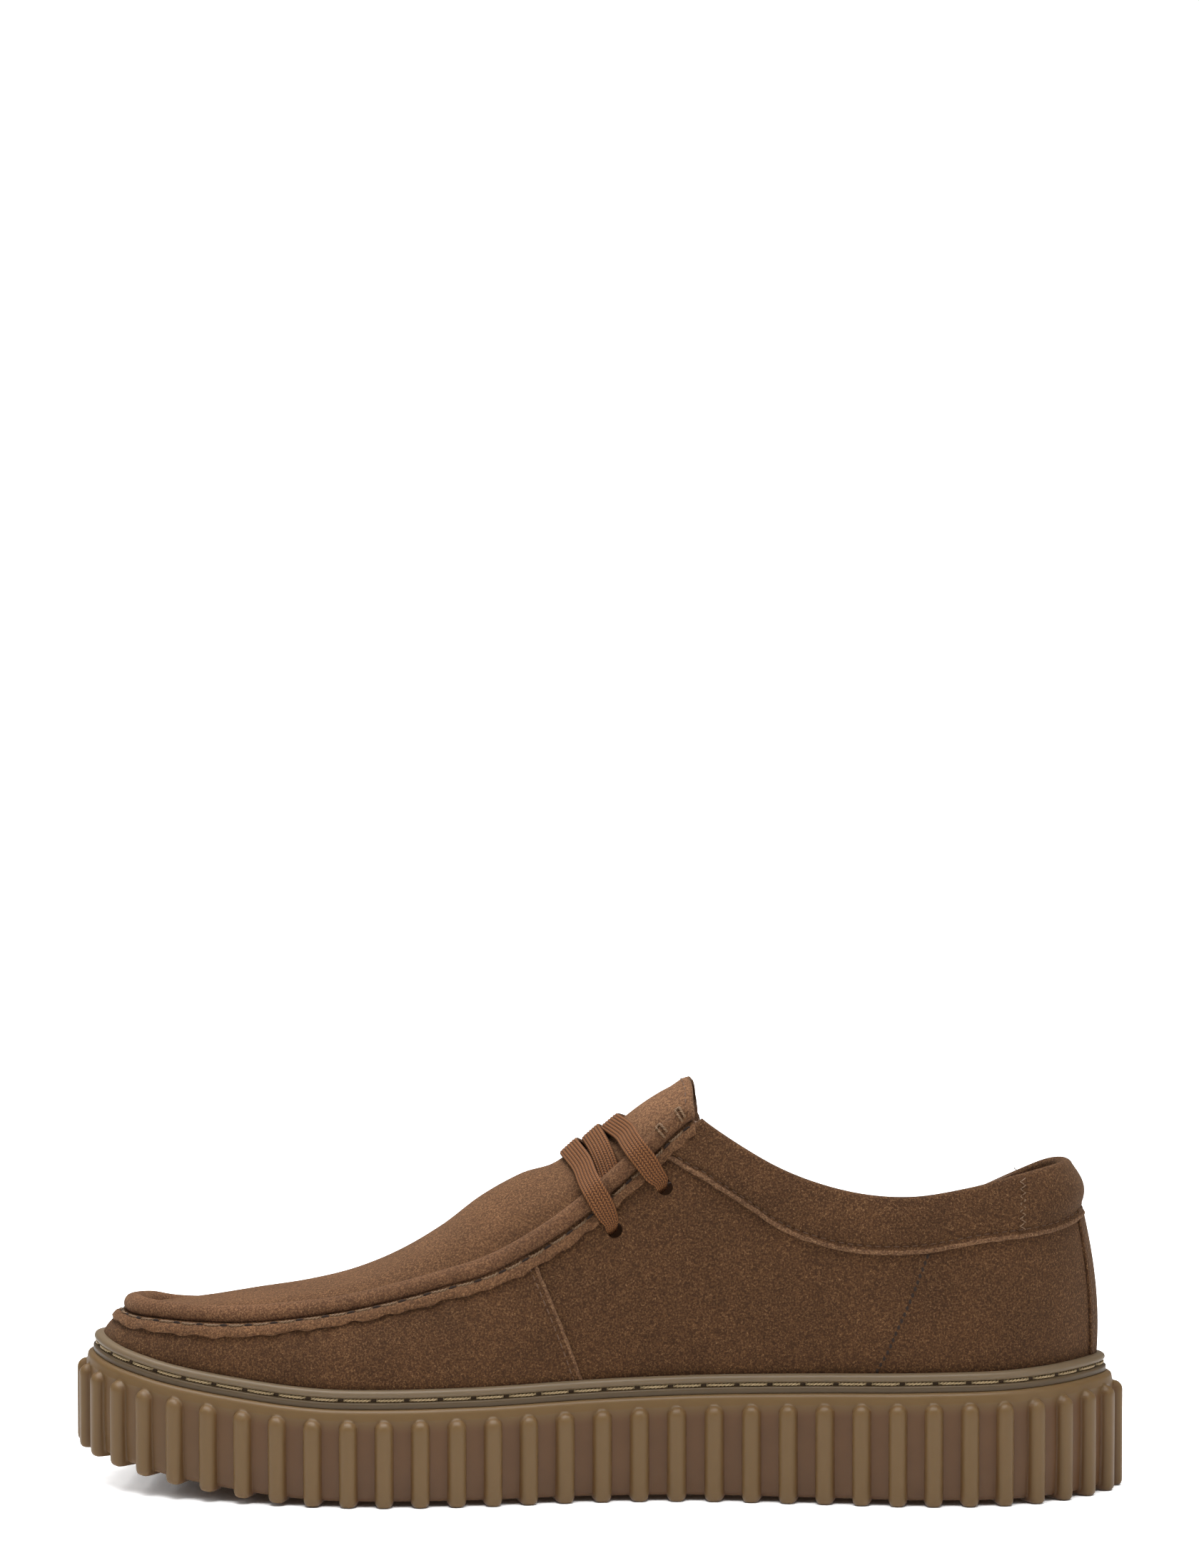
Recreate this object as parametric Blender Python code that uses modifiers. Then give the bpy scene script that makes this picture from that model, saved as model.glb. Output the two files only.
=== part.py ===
"""A low moccasin-style lace-up shoe for the right foot: a suede upper on a ribbed rubber cup sole.

Metres, +Z up. The toe points along -X and the medial (inner) side faces -Y. The origin lies on the
floor under the middle of the shoe. Every table gives lengths as shares of the named sizes, and a
side is -1 for the medial half and +1 for the lateral half.
"""

from collections import namedtuple

import bmesh
import bpy
import numpy as np
from mathutils import Vector

# Driving sizes, in metres
LENGTH = 0.302
BALL_WIDTH = 0.108
TOE_SPRING = 0.0108
SOLE_HEIGHT = 0.0326
INSTEP_HEIGHT = 0.1092
HEEL_HEIGHT = 0.0935

RIBS_A_SIDE = 33
RIB_WIDTH = 0.0060
RIB_FACE = 0.0034
RIB_DEPTH = 0.0030
LUG_DEPTH = 0.0028
RIB_DROP = 0.0080
EDGE_ROUND = 0.0012

WELT_HEIGHT = 0.0049
WELT_INSET = 0.0048
WELT_GROOVE = 0.0011

UPPER_WALL = 0.0022
UPPER_INSET = 0.0083
ROLL_WIDTH = 0.0060
ROLL_HEIGHT = 0.0029
FLANGE_WIDTH = 0.0038
FLANGE_STEP = 0.0012
BAND_WIDTH = 0.0160
BAND_STEP = 0.0009
LAP_STEP = 0.0009
STAY_STEP = 0.0008
EYELET_WIDTH = 0.0048

TONGUE_WALL = 0.0022
TONGUE_GAP = 0.0006
INSOLE_THICKNESS = 0.0040
LACE_WIDTH = 0.0050
LACE_THICKNESS = 0.0016
CLEARANCE = 0.0003
STEP_RUN = 0.0004
NUDGE = 0.0020

# Where the shoe's own landmarks lie, as shares of the feather line from toe (0) to heel (1)
VAMP_LAP = 0.500
THROAT_BASE = 0.550
BAND_START = 0.606
THROAT_TOP = 0.630
STAY_EDGE = 0.972
SPRING_END = 0.263
STEP_SHARE = 0.0004
SHARE_NUDGE = 0.002

Outline = namedtuple("Outline", "along across")
MEDIAL_OUTLINE = (
    Outline(0.000, -0.056),
    Outline(0.020, -0.225),
    Outline(0.068, -0.352),
    Outline(0.160, -0.443),
    Outline(0.290, -0.499),
    Outline(0.400, -0.462),
    Outline(0.500, -0.390),
    Outline(0.595, -0.364),
    Outline(0.700, -0.388),
    Outline(0.815, -0.417),
    Outline(0.905, -0.372),
    Outline(0.966, -0.238),
    Outline(1.000, -0.056),
)
LATERAL_OUTLINE = (
    Outline(0.020, 0.120),
    Outline(0.068, 0.255),
    Outline(0.155, 0.390),
    Outline(0.250, 0.472),
    Outline(0.370, 0.499),
    Outline(0.500, 0.437),
    Outline(0.595, 0.378),
    Outline(0.700, 0.330),
    Outline(0.815, 0.305),
    Outline(0.905, 0.260),
    Outline(0.966, 0.126),
)
AXIS = MEDIAL_OUTLINE[0].across

# Top of the welt above the flat floor line, as shares of SOLE_HEIGHT
WeltLine = namedtuple("WeltLine", "along up")
WELT_LINE = (
    WeltLine(0.00, 0.990),
    WeltLine(0.14, 1.005),
    WeltLine(0.30, 1.000),
    WeltLine(0.42, 1.018),
    WeltLine(0.54, 1.060),
    WeltLine(0.68, 1.106),
    WeltLine(0.80, 1.135),
    WeltLine(0.90, 1.152),
    WeltLine(1.00, 1.184),
)

# The last's ridge under the rolled seam, from the toe back to the top of the throat: out is from the
# axis as a share of BALL_WIDTH, up from the sole's height as a share of the instep's rise over it, and
# belly as a share of the wall's height
Ridge = namedtuple("Ridge", "feather along medial_out lateral_out medial_up lateral_up belly")
RIDGE = (
    Ridge(0.00, 0.058, 0.000, 0.000, 0.2131, 0.2131, 0.120),
    Ridge(0.05, 0.068, 0.088, 0.090, 0.2188, 0.2074, 0.150),
    Ridge(0.10, 0.088, 0.155, 0.163, 0.2259, 0.1960, 0.200),
    Ridge(0.15, 0.127, 0.213, 0.230, 0.2259, 0.1803, 0.220),
    Ridge(0.20, 0.174, 0.250, 0.272, 0.2316, 0.1789, 0.220),
    Ridge(0.25, 0.220, 0.260, 0.292, 0.2487, 0.1945, 0.220),
    Ridge(0.30, 0.268, 0.264, 0.301, 0.2772, 0.2231, 0.220),
    Ridge(0.35, 0.315, 0.259, 0.296, 0.3214, 0.2687, 0.200),
    Ridge(0.40, 0.359, 0.246, 0.282, 0.3727, 0.3200, 0.180),
    Ridge(0.45, 0.397, 0.236, 0.268, 0.4212, 0.3699, 0.150),
    Ridge(0.50, 0.437, 0.220, 0.250, 0.5010, 0.4526, 0.130),
    Ridge(0.55, 0.488, 0.199, 0.222, 0.6350, 0.5923, 0.110),
    Ridge(0.60, 0.551, 0.179, 0.195, 0.8546, 0.8175, 0.095),
    Ridge(0.63, 0.586, 0.171, 0.185, 0.9786, 0.9444, 0.090),
    Ridge(0.64, 0.596, 0.170, 0.183, 1.0000, 0.9658, 0.090),
)

# The last's crown, the middle of the plug and tongue, on the same feather shares
Crown = namedtuple("Crown", "feather along up")
CROWN = (
    Crown(0.000, 0.068, 0.2131),
    Crown(0.050, 0.086, 0.2117),
    Crown(0.100, 0.107, 0.2231),
    Crown(0.150, 0.136, 0.2402),
    Crown(0.200, 0.176, 0.2672),
    Crown(0.250, 0.220, 0.2943),
    Crown(0.300, 0.266, 0.3400),
    Crown(0.350, 0.311, 0.4141),
    Crown(0.400, 0.354, 0.5153),
    Crown(0.450, 0.391, 0.6265),
    Crown(0.500, 0.428, 0.7092),
    Crown(0.550, 0.472, 0.7805),
    Crown(0.575, 0.503, 0.8902),
    Crown(0.600, 0.540, 1.0086),
    Crown(0.630, 0.576, 1.0884),
    Crown(0.640, 0.585, 1.0969),
)

# The last's collar edge from the throat back to the heel. Up is from the sole's height, as a share of
# the heel's rise over it, or of the instep's where throat is 1.
Collar = namedtuple("Collar", "feather along medial_out lateral_out throat medial_up lateral_up belly")
COLLAR = (
    Collar(0.632, 0.601, 0.171, 0.183, 1.00, 0.9720, 0.9049, 0.090),
    Collar(0.660, 0.630, 0.190, 0.204, 0.80, 0.9334, 0.8252, 0.085),
    Collar(0.700, 0.676, 0.213, 0.231, 0.50, 0.8858, 0.7634, 0.080),
    Collar(0.750, 0.738, 0.239, 0.250, 0.20, 0.8590, 0.7290, 0.075),
    Collar(0.800, 0.795, 0.244, 0.250, 0.05, 0.8675, 0.7417, 0.075),
    Collar(0.850, 0.849, 0.227, 0.231, 0.00, 0.9171, 0.8096, 0.078),
    Collar(0.900, 0.894, 0.181, 0.185, 0.00, 0.9708, 0.9063, 0.080),
    Collar(0.950, 0.927, 0.105, 0.109, 0.00, 1.0015, 0.9846, 0.080),
    Collar(1.000, 0.940, 0.000, 0.000, 0.00, 1.0000, 1.0000, 0.080),
)

# The eyelets on each side: the feather share, and how far down the wall each lies from the ridge, as
# a share of INSTEP_HEIGHT
Eyelet = namedtuple("Eyelet", "feather down")
EYELETS = (Eyelet(0.566, 0.1026), Eyelet(0.605, 0.1145))

# The lace's runs: the feather shares at which each crosses the ridge and the crown, and how high its
# middle line lies over the last at the crown, in lace thicknesses. The middle run goes from roll to
# roll only.
LaceRun = namedtuple("LaceRun", "name eyelet ridge crown crown_lift")
LACE_RUNS = (
    LaceRun("lace_lower", EYELETS[0], 0.5556, 0.551, 2.31),
    LaceRun("lace_middle", None, 0.5653, 0.5665, 0.50),
    LaceRun("lace_upper", EYELETS[1], 0.583, 0.580, 0.63),
)

# Columns of the upper, welt and insole, as feather shares: close where the outline turns or steps
TOE_COLUMNS = (0.0, 0.025, 0.05, 0.075, 0.10, 0.13, 0.16, 0.20, 0.24, 0.28, 0.32, 0.36, 0.40, 0.45)
WAIST_COLUMNS = (0.528, THROAT_BASE, 0.578, BAND_START)
HEEL_COLUMNS = (0.66, 0.70, 0.74, 0.78, 0.82, 0.86, 0.89, 0.92, 0.945)
TONGUE_COLUMNS = (*WAIST_COLUMNS, THROAT_TOP, 0.638)

# Rows of the upper's wall as shares of its free height, of the collar band as shares of its width
# down from the edge, and of the plug as shares of the way from the roll to the crown
WALL_ROWS = (0.0, 0.2, 0.4, 0.6)
LAST_WALL_ROW = 0.79
BAND_APPROACH = (0.82, 0.88)
BAND_ROWS = (0.62, 0.40, 0.24, 0.12, 0.05, 0.02, 0.0)
PLUG_ROWS = (0.32, 0.55, 0.78)
TONGUE_STRIPS = 6
LACE_STRIPS = 22

# The wall's curve: how far its control points lie along it, and how far in from foot and top
HANDLE_UP = 0.35
HANDLE_IN = 0.10
PLUG_ROUND = 2.1

# A row of a ring round the foot: how far inside the sole's outline, and how far under the welt's top
Row = namedtuple("Row", "inset down")
# The depths of the welt's band, groove and lip under its top, as shares of WELT_HEIGHT
BAND_DEPTH = 0.78
GROOVE_DEPTH = 0.62
LIP_DEPTHS = (0.42, 0.18)
INNER_ROUND = 0.1


def smooth(keys, values, places):
    """Values at the places, along a smooth curve through the keyed values."""
    keys = np.asarray(keys, float)
    values = np.asarray(values, float)
    gaps = np.diff(keys)
    rises = np.diff(values) / gaps
    inner = (rises[:-1] * gaps[1:] + rises[1:] * gaps[:-1]) / (gaps[:-1] + gaps[1:])
    slopes = np.concatenate([[2 * rises[0] - inner[0]], inner, [2 * rises[-1] - inner[-1]]])
    i = np.clip(np.searchsorted(keys, places, side="right") - 1, 0, len(gaps) - 1)
    t = (places - keys[i]) / gaps[i]
    held = values[i] * (1 + 2 * t) * (1 - t) ** 2 + values[i + 1] * t * t * (3 - 2 * t)
    return held + gaps[i] * t * (1 - t) * (slopes[i] * (1 - t) - slopes[i + 1] * t)


def read(table, key, name, places):
    """One named column of a table at the places, which lie along its key column."""
    keys = [getattr(row, key) for row in table]
    return smooth(keys, [getattr(row, name) for row in table], places)


def outline_lines(samples=900):
    """For each side, the arc lengths, points and inward normals of the sole's outline, toe to heel."""
    rows = MEDIAL_OUTLINE + LATERAL_OUTLINE[::-1]
    loop = np.array([((row.along - 0.5) * LENGTH, row.across * BALL_WIDTH) for row in rows])
    wrap = 3
    looped = np.concatenate([loop[-wrap:], loop, loop[: wrap + 1]])
    run = np.concatenate([[0], np.cumsum(np.linalg.norm(np.diff(looped, axis=0), axis=1))])
    run -= run[wrap]
    whole = run[wrap + len(loop)]
    heel = run[wrap + len(MEDIAL_OUTLINE) - 1]
    lines = {}
    nudge = LENGTH / samples / 30
    for side, start in ((-1, 0.0), (1, whole)):
        places = np.linspace(start, heel, samples)
        x, y = (smooth(run, looped[:, axis], places) for axis in (0, 1))
        ahead = [smooth(run, looped[:, axis], places + nudge) for axis in (0, 1)]
        behind = [smooth(run, looped[:, axis], places - nudge) for axis in (0, 1)]
        tangent = np.array(ahead) - np.array(behind)
        tangent /= np.linalg.norm(tangent, axis=0)
        arc = np.concatenate([[0], np.cumsum(np.hypot(np.diff(x), np.diff(y)))])
        lines[side] = (arc, x, y, -tangent[1], tangent[0])
    return lines


OUTLINE_LINES = outline_lines()


def rim(side, share, inset):
    """The point this far inside the sole's outline, and the inward normal, at an arc share."""
    arc, x, y, inward_x, inward_y = OUTLINE_LINES[side]
    place = share * arc[-1]
    nx = np.interp(place, arc, inward_x)
    ny = np.interp(place, arc, inward_y)
    point = (np.interp(place, arc, x) + nx * inset, np.interp(place, arc, y) + ny * inset)
    return np.array(point), np.array((nx, ny))


def tread_height(x):
    """The toe spring: how far the sole's underside has left the floor at x."""
    run = np.clip(SPRING_END - (x / LENGTH + 0.5), 0, None) / SPRING_END
    return TOE_SPRING * run**1.7


def welt_top(x):
    along = np.clip(x / LENGTH + 0.5, 0, 1)
    return read(WELT_LINE, "along", "up", along) * SOLE_HEIGHT + tread_height(x)


def sole_top(x):
    return welt_top(x) - WELT_HEIGHT - CLEARANCE


def rim_point(side, share, inset, down):
    """A point inside the outline, this far under the top of the welt."""
    (x, y), _ = rim(side, share, inset)
    return (x, y, welt_top(x) - down)


def ring_shares(shares):
    """(side, share) all round, from the toe down the medial side and back up the lateral side."""
    back = [share for share in reversed(shares) if 0 < share < 1]
    return [(-1, share) for share in shares] + [(1, share) for share in back]


def column_shares():
    """The feather shares of every column, with a close pair at each step that runs up the wall."""
    lap = [VAMP_LAP - STEP_SHARE, VAMP_LAP + STEP_SHARE * 3]
    throat = [THROAT_TOP, THROAT_TOP + STEP_SHARE * 5]
    stay = [STAY_EDGE, STAY_EDGE + STEP_SHARE * 3]
    return list(TOE_COLUMNS) + lap + list(WAIST_COLUMNS) + throat + list(HEEL_COLUMNS) + stay + [1.0]


COLUMNS = column_shares()


def make_object(name, mesh_data, colour, roughness):
    """An object in the shoe's collection, from a bmesh, with its own material."""
    mesh = bpy.data.meshes.new(name)
    bmesh.ops.recalc_face_normals(mesh_data, faces=mesh_data.faces)
    mesh_data.to_mesh(mesh)
    mesh_data.free()
    mesh.shade_smooth()
    material = bpy.data.materials.new(name)
    material.use_nodes = True
    shader = material.node_tree.nodes["Principled BSDF"]
    shader.inputs["Base Color"].default_value = (*colour, 1)
    shader.inputs["Roughness"].default_value = roughness
    mesh.materials.append(material)
    made = bpy.data.objects.new(name, mesh)
    SHOE.objects.link(made)
    return made


def loft(mesh_data, rings, closed=True):
    """Quads between each ring of points and the next, and the rings of vertices."""
    made = [[mesh_data.verts.new(point) for point in ring] for ring in rings]
    for lower, upper in zip(made, made[1:]):
        count = len(lower)
        for i in range(count if closed else count - 1):
            j = (i + 1) % count
            mesh_data.faces.new((lower[i], lower[j], upper[j], upper[i]))
    return made


def bridge_sides(mesh_data, ring, tips=True):
    """Close a toe-to-heel ring with strips across it. With tips, its first vertex is the toe's."""
    count = len(ring)
    for i in range(count // 2 - (not tips)):
        opposite = count - i - (not tips)
        corners = [ring[i], ring[i + 1], ring[(opposite - 1) % count], ring[opposite % count]]
        distinct = list(dict.fromkeys(corners))
        if len(distinct) > 2:
            mesh_data.faces.new(distinct)


def rib_columns(side):
    """(side, share, raised), toe to heel: two columns on each rib's face and one at each foot.

    A rib stands on the toe tip and one on the heel tip, and the sides share those two.
    """
    length = OUTLINE_LINES[side][0][-1]
    columns = []
    for rib in range(RIBS_A_SIDE + 1):
        for reach, raised in ((-RIB_WIDTH, 0), (-RIB_FACE, 1), (RIB_FACE, 1), (RIB_WIDTH, 0)):
            share = rib / RIBS_A_SIDE + reach / 2 / length
            if 0 < share < 1:
                columns.append((side, share, raised))
    return columns


def make_outsole():
    """The cup sole: ribs stand round its side, and their feet run on across the underside as bars."""
    columns = rib_columns(-1) + rib_columns(1)[::-1]

    def ring(rib_inset, gap_inset, height):
        """One ring: height works out z from x and from whether the column is on a rib."""
        points = []
        for side, share, raised in columns:
            (x, y), _ = rim(side, share, rib_inset if raised else gap_inset)
            points.append((x, y, height(x, raised)))
        return points

    def underside(x, raised):
        return tread_height(x) + (1 - raised) * LUG_DEPTH

    rib_top = RIB_DROP + RIB_WIDTH / 4
    wall = RIB_DEPTH
    rings = (
        ring(EDGE_ROUND, wall + EDGE_ROUND, underside),
        ring(0, wall, lambda x, raised: underside(x, raised) + EDGE_ROUND),
        ring(EDGE_ROUND / 3, wall, lambda x, raised: welt_top(x) - rib_top - raised * RIB_WIDTH / 4),
        ring(wall - EDGE_ROUND, wall, lambda x, raised: welt_top(x) - rib_top + raised * RIB_WIDTH / 8),
        ring(wall, wall, lambda x, raised: welt_top(x) - RIB_DROP + raised * EDGE_ROUND / 2),
        ring(WELT_INSET - EDGE_ROUND, WELT_INSET - EDGE_ROUND, lambda x, raised: sole_top(x)),
    )
    body = bmesh.new()
    made = loft(body, rings)
    for end in (made[0], made[-1]):
        bridge_sides(body, end, tips=False)
    return make_object("outsole", body, (0.20, 0.135, 0.075), 0.45)


def make_welt():
    """The welt strip round the foot of the upper: a flat band, a stitch groove and a rounded lip."""
    inner = UPPER_INSET - CLEARANCE
    lip = WELT_INSET + WELT_GROOVE / 2
    section = (
        Row(WELT_INSET, WELT_HEIGHT),
        Row(WELT_INSET, WELT_HEIGHT * BAND_DEPTH),
        Row(WELT_INSET + WELT_GROOVE, WELT_HEIGHT * GROOVE_DEPTH),
        *(Row(lip, WELT_HEIGHT * depth) for depth in LIP_DEPTHS),
        Row(lip + WELT_GROOVE, 0),
        Row(inner - WELT_GROOVE / 2, 0),
        Row(inner, WELT_HEIGHT * INNER_ROUND),
        Row(inner, WELT_HEIGHT),
    )
    body = bmesh.new()
    rings = [
        [rim_point(side, share, row.inset, row.down) for side, share in ring_shares(COLUMNS)]
        for row in section
    ]
    made = loft(body, rings)
    for i in range(len(made[0])):
        j = (i + 1) % len(made[0])
        body.faces.new((made[-1][i], made[-1][j], made[0][j], made[0][i]))
    return make_object("welt", body, (0.22, 0.165, 0.105), 0.5)


def make_insole():
    """The footbed inside the upper, on the sole."""
    inset = UPPER_INSET + UPPER_WALL + CLEARANCE
    rise = WELT_HEIGHT - INSOLE_THICKNESS
    rows = (
        Row(inset, WELT_HEIGHT),
        Row(inset, rise + EDGE_ROUND),
        Row(inset + EDGE_ROUND, rise),
    )
    body = bmesh.new()
    made = loft(
        body,
        [
            [rim_point(side, share, row.inset, row.down) for side, share in ring_shares(COLUMNS)]
            for row in rows
        ],
    )
    bridge_sides(body, made[0])
    bridge_sides(body, made[-1])
    return make_object("insole", body, (0.16, 0.10, 0.06), 0.8)


def in_front(share):
    """Whether a column ends in the rolled seam, and not in the collar."""
    return share <= THROAT_TOP + STEP_SHARE


def ridge_point(side, share, front):
    """The last's top edge at a feather share: under the rolled seam in front, or the collar behind."""
    table = RIDGE if front else COLLAR
    throat = 1 if front else read(COLLAR, "feather", "throat", share)
    rise = HEEL_HEIGHT + (INSTEP_HEIGHT - HEEL_HEIGHT) * throat - SOLE_HEIGHT
    name = "medial" if side < 0 else "lateral"
    along = read(table, "feather", "along", share)
    out = read(table, "feather", name + "_out", share)
    up = read(table, "feather", name + "_up", share)
    belly = read(table, "feather", "belly", share)
    place = ((along - 0.5) * LENGTH, (AXIS + side * out) * BALL_WIDTH, SOLE_HEIGHT + up * rise)
    return np.array(place), belly


def crown_point(share):
    along = read(CROWN, "feather", "along", share)
    up = read(CROWN, "feather", "up", share)
    height = SOLE_HEIGHT + up * (INSTEP_HEIGHT - SOLE_HEIGHT)
    return np.array(((along - 0.5) * LENGTH, AXIS * BALL_WIDTH, height))


def wall_line(side, share, front=True, samples=40):
    """The last's side wall at a feather share, as points from the welt's top up to its top edge."""
    top, belly = ridge_point(side, share, front)
    foot_xy, inward = rim(side, share, UPPER_INSET + UPPER_WALL)
    foot = np.array((*foot_xy, welt_top(foot_xy[0])))
    inward = np.array((*inward, 0))
    up = np.array((0, 0, top[2] - foot[2]))
    lean = np.array((*(top - foot)[:2], 0))
    across = inward * (lean @ inward)
    sweep = lean - across
    bulge = inward * belly * up[2]
    low = foot + (sweep + up) * HANDLE_UP + across * HANDLE_IN - bulge / 2
    high = top - (sweep + up) * HANDLE_UP - across * HANDLE_IN - bulge
    t = np.linspace(0, 1, samples)[:, None]
    return (1 - t) ** 3 * foot + 3 * t * (1 - t) ** 2 * low + 3 * t * t * (1 - t) * high + t**3 * top


def plug_line(side, share, samples=24):
    """The last's top from the ridge in to the crown."""
    top, _ = ridge_point(side, share, True)
    crown = crown_point(share)
    t = np.linspace(0, 1, samples)[:, None]
    line = top + (crown - top) * t
    line[:, 2] = top[2] + (crown[2] - top[2]) * (1 - (1 - t[:, 0]) ** PLUG_ROUND)
    return line


def walk(line, distances):
    """The points at these distances along a line."""
    run = np.concatenate([[0], np.cumsum(np.linalg.norm(np.diff(line, axis=0), axis=1))])
    return np.stack([np.interp(distances, run, line[:, axis]) for axis in range(3)], axis=1), run[-1]


def strip_rows(side, share):
    """Points up a column with the rolled seam: (point, extra thickness), foot to the plug's edge."""
    wall = wall_line(side, share)
    _, height = walk(wall, [0])
    flange = ROLL_WIDTH / 2 + FLANGE_WIDTH
    free = height - flange - STEP_RUN
    lap = LAP_STEP if share < VAMP_LAP else 0
    band = BAND_STEP * (share > BAND_START)
    reach = BAND_WIDTH * (share - BAND_START) / (THROAT_TOP - BAND_START) * band / BAND_STEP
    below_band, band_foot = (free * part for part in BAND_APPROACH)
    if band:
        below_band, band_foot = (free - reach - STEP_RUN, free - reach)
    ups = [free * part for part in WALL_ROWS] + [min(free * LAST_WALL_ROW, below_band - STEP_RUN)]
    ups += [below_band, band_foot]
    ups += [free, free + STEP_RUN, height - ROLL_WIDTH / 2, height - ROLL_WIDTH / 4, height]
    extra = [lap] * 6 + [lap + band, lap + band, FLANGE_STEP + band, FLANGE_STEP / 3]
    extra += [ROLL_HEIGHT * 0.75, ROLL_HEIGHT]
    points, _ = walk(wall, ups)
    inner, _ = walk(plug_line(side, share), [ROLL_WIDTH / 4, ROLL_WIDTH / 2])
    return list(points) + list(inner), extra + [ROLL_HEIGHT * 0.75, 0]


def collar_rows(side, share):
    """Points up a column under the collar band: (point, extra thickness), foot to the top edge."""
    wall = wall_line(side, share, False)
    _, height = walk(wall, [0])
    free = height - BAND_WIDTH
    ups = [free * part for part in WALL_ROWS] + [free * LAST_WALL_ROW, free - STEP_RUN, free]
    ups += [height - BAND_WIDTH * part for part in BAND_ROWS]
    stay = STAY_STEP if share > STAY_EDGE + STEP_SHARE else 0
    extra = [stay] * 6 + [BAND_STEP] * 5 + [BAND_STEP * 0.5, -UPPER_WALL * 0.15, -UPPER_WALL * 0.6]
    points, _ = walk(wall, ups)
    return list(points), extra


def column_rows(side, share):
    """A whole column of the upper, with its foot tucked behind the welt."""
    points, extra = (strip_rows if in_front(share) else collar_rows)(side, share)
    (x, y), _ = rim(side, share, UPPER_INSET + UPPER_WALL)
    (outer_x, _), _ = rim(side, share, UPPER_INSET)
    foot = np.array((x, y, sole_top(outer_x) + CLEARANCE))
    return [foot] + points, [0, 0] + extra[1:]


def make_upper():
    """Plug, vamp, quarters and collar as one hollow wall on the last, with its steps in thickness."""
    body = bmesh.new()
    layer = body.verts.layers.deform.verify()
    thickest = UPPER_WALL + ROLL_HEIGHT

    def vertex(point, extra):
        made = body.verts.new(point)
        made[layer][0] = (UPPER_WALL + extra) / thickest
        return made

    ring = []
    for side, share in ring_shares(COLUMNS):
        points, extra = column_rows(side, share)
        ring.append([vertex(point, more) for point, more in zip(points, extra)])
    count = len(ring)
    for i, column in enumerate(ring):
        beside = ring[(i + 1) % count]
        for j in range(len(column) - 1):
            body.faces.new((column[j], beside[j], beside[j + 1], column[j + 1]))

    plugged = [share for share in COLUMNS if 0 < share <= THROAT_BASE]
    middle = [ring[0][-1]] + [vertex(crown_point(share), 0) for share in plugged]
    for side in (-1, 1):
        last_row = [ring[0][-1]] * (len(PLUG_ROWS) + 2)
        for k, share in enumerate(plugged, 1):
            edge = ring[k if side < 0 else count - k][-1]
            line = plug_line(side, share)
            _, whole = walk(line, [0])
            start = ROLL_WIDTH / 2
            inner, _ = walk(line, [start + (whole - start) * part for part in PLUG_ROWS])
            row = [edge] + [vertex(point, 0) for point in inner] + [middle[k]]
            for j in range(len(row) - 1):
                corners = list(dict.fromkeys((last_row[j], row[j], row[j + 1], last_row[j + 1])))
                body.faces.new(corners)
            last_row = row
    upper = make_object("upper", body, (0.13, 0.062, 0.032), 0.95)
    upper.vertex_groups.new(name="thickness")
    wall = upper.modifiers.new("wall", "SOLIDIFY")
    wall.thickness = thickest
    wall.offset = 1
    wall.use_even_offset = True
    wall.vertex_group = "thickness"
    for side in (-1, 1):
        for number, eyelet in enumerate(EYELETS):
            down = eyelet.down * INSTEP_HEIGHT
            cutter = make_punch(f"punch_{number}_{side}", side, eyelet.feather, down)
            cut = upper.modifiers.new(cutter.name, "BOOLEAN")
            cut.operation = "DIFFERENCE"
            cut.object = cutter
    return upper


def last_point(side, share, distance):
    """A point on the last, this far in from the ridge, or down the wall where it is negative."""
    wall = wall_line(side, share)
    _, height = walk(wall, [0])
    line = np.concatenate([wall[:-1], plug_line(side, share)])
    (point,), whole = walk(line, [height + distance])
    return point, whole - height


def wall_place(side, share, down):
    """A point on the last's wall this far down from the ridge, and its outward normal."""
    point, _ = last_point(side, share, -down)
    rise = last_point(side, share, NUDGE - down)[0] - point
    normal = np.cross(rise, last_point(side, share + SHARE_NUDGE, -down)[0] - point)
    normal /= np.linalg.norm(normal)
    return point, normal * (1 if normal[1] * side > 0 else -1)


def make_punch(name, side, share, down):
    """The cutter of one punched eyelet, through the wall."""
    point, normal = wall_place(side, share, down)
    punch = bmesh.new()
    reach = UPPER_WALL * 6
    bmesh.ops.create_cone(
        punch, cap_ends=True, segments=12, radius1=EYELET_WIDTH / 2, radius2=EYELET_WIDTH / 2, depth=reach
    )
    mesh = bpy.data.meshes.new(name)
    punch.to_mesh(mesh)
    punch.free()
    cutter = bpy.data.objects.new(name, mesh)
    cutter.location = point
    cutter.rotation_mode = "QUATERNION"
    cutter.rotation_quaternion = Vector(normal).to_track_quat("Z", "Y")
    cutter.hide_render = True
    cutter.display_type = "WIRE"
    CUTTERS.objects.link(cutter)
    return cutter


def tongue_row(share, start):
    """A row across the throat under the last's surface, which starts this far in from each ridge."""
    points = []
    for side in (-1, 1):
        wall = wall_line(side, share)
        _, height = walk(wall, [0])
        line = np.concatenate([wall[:-1], plug_line(side, share)])
        _, whole = walk(line, [0])
        half, _ = walk(line, np.linspace(height + start, whole, TONGUE_STRIPS + 1))
        points += list(half) if side < 0 else list(half[-2::-1])
    return points


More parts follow.
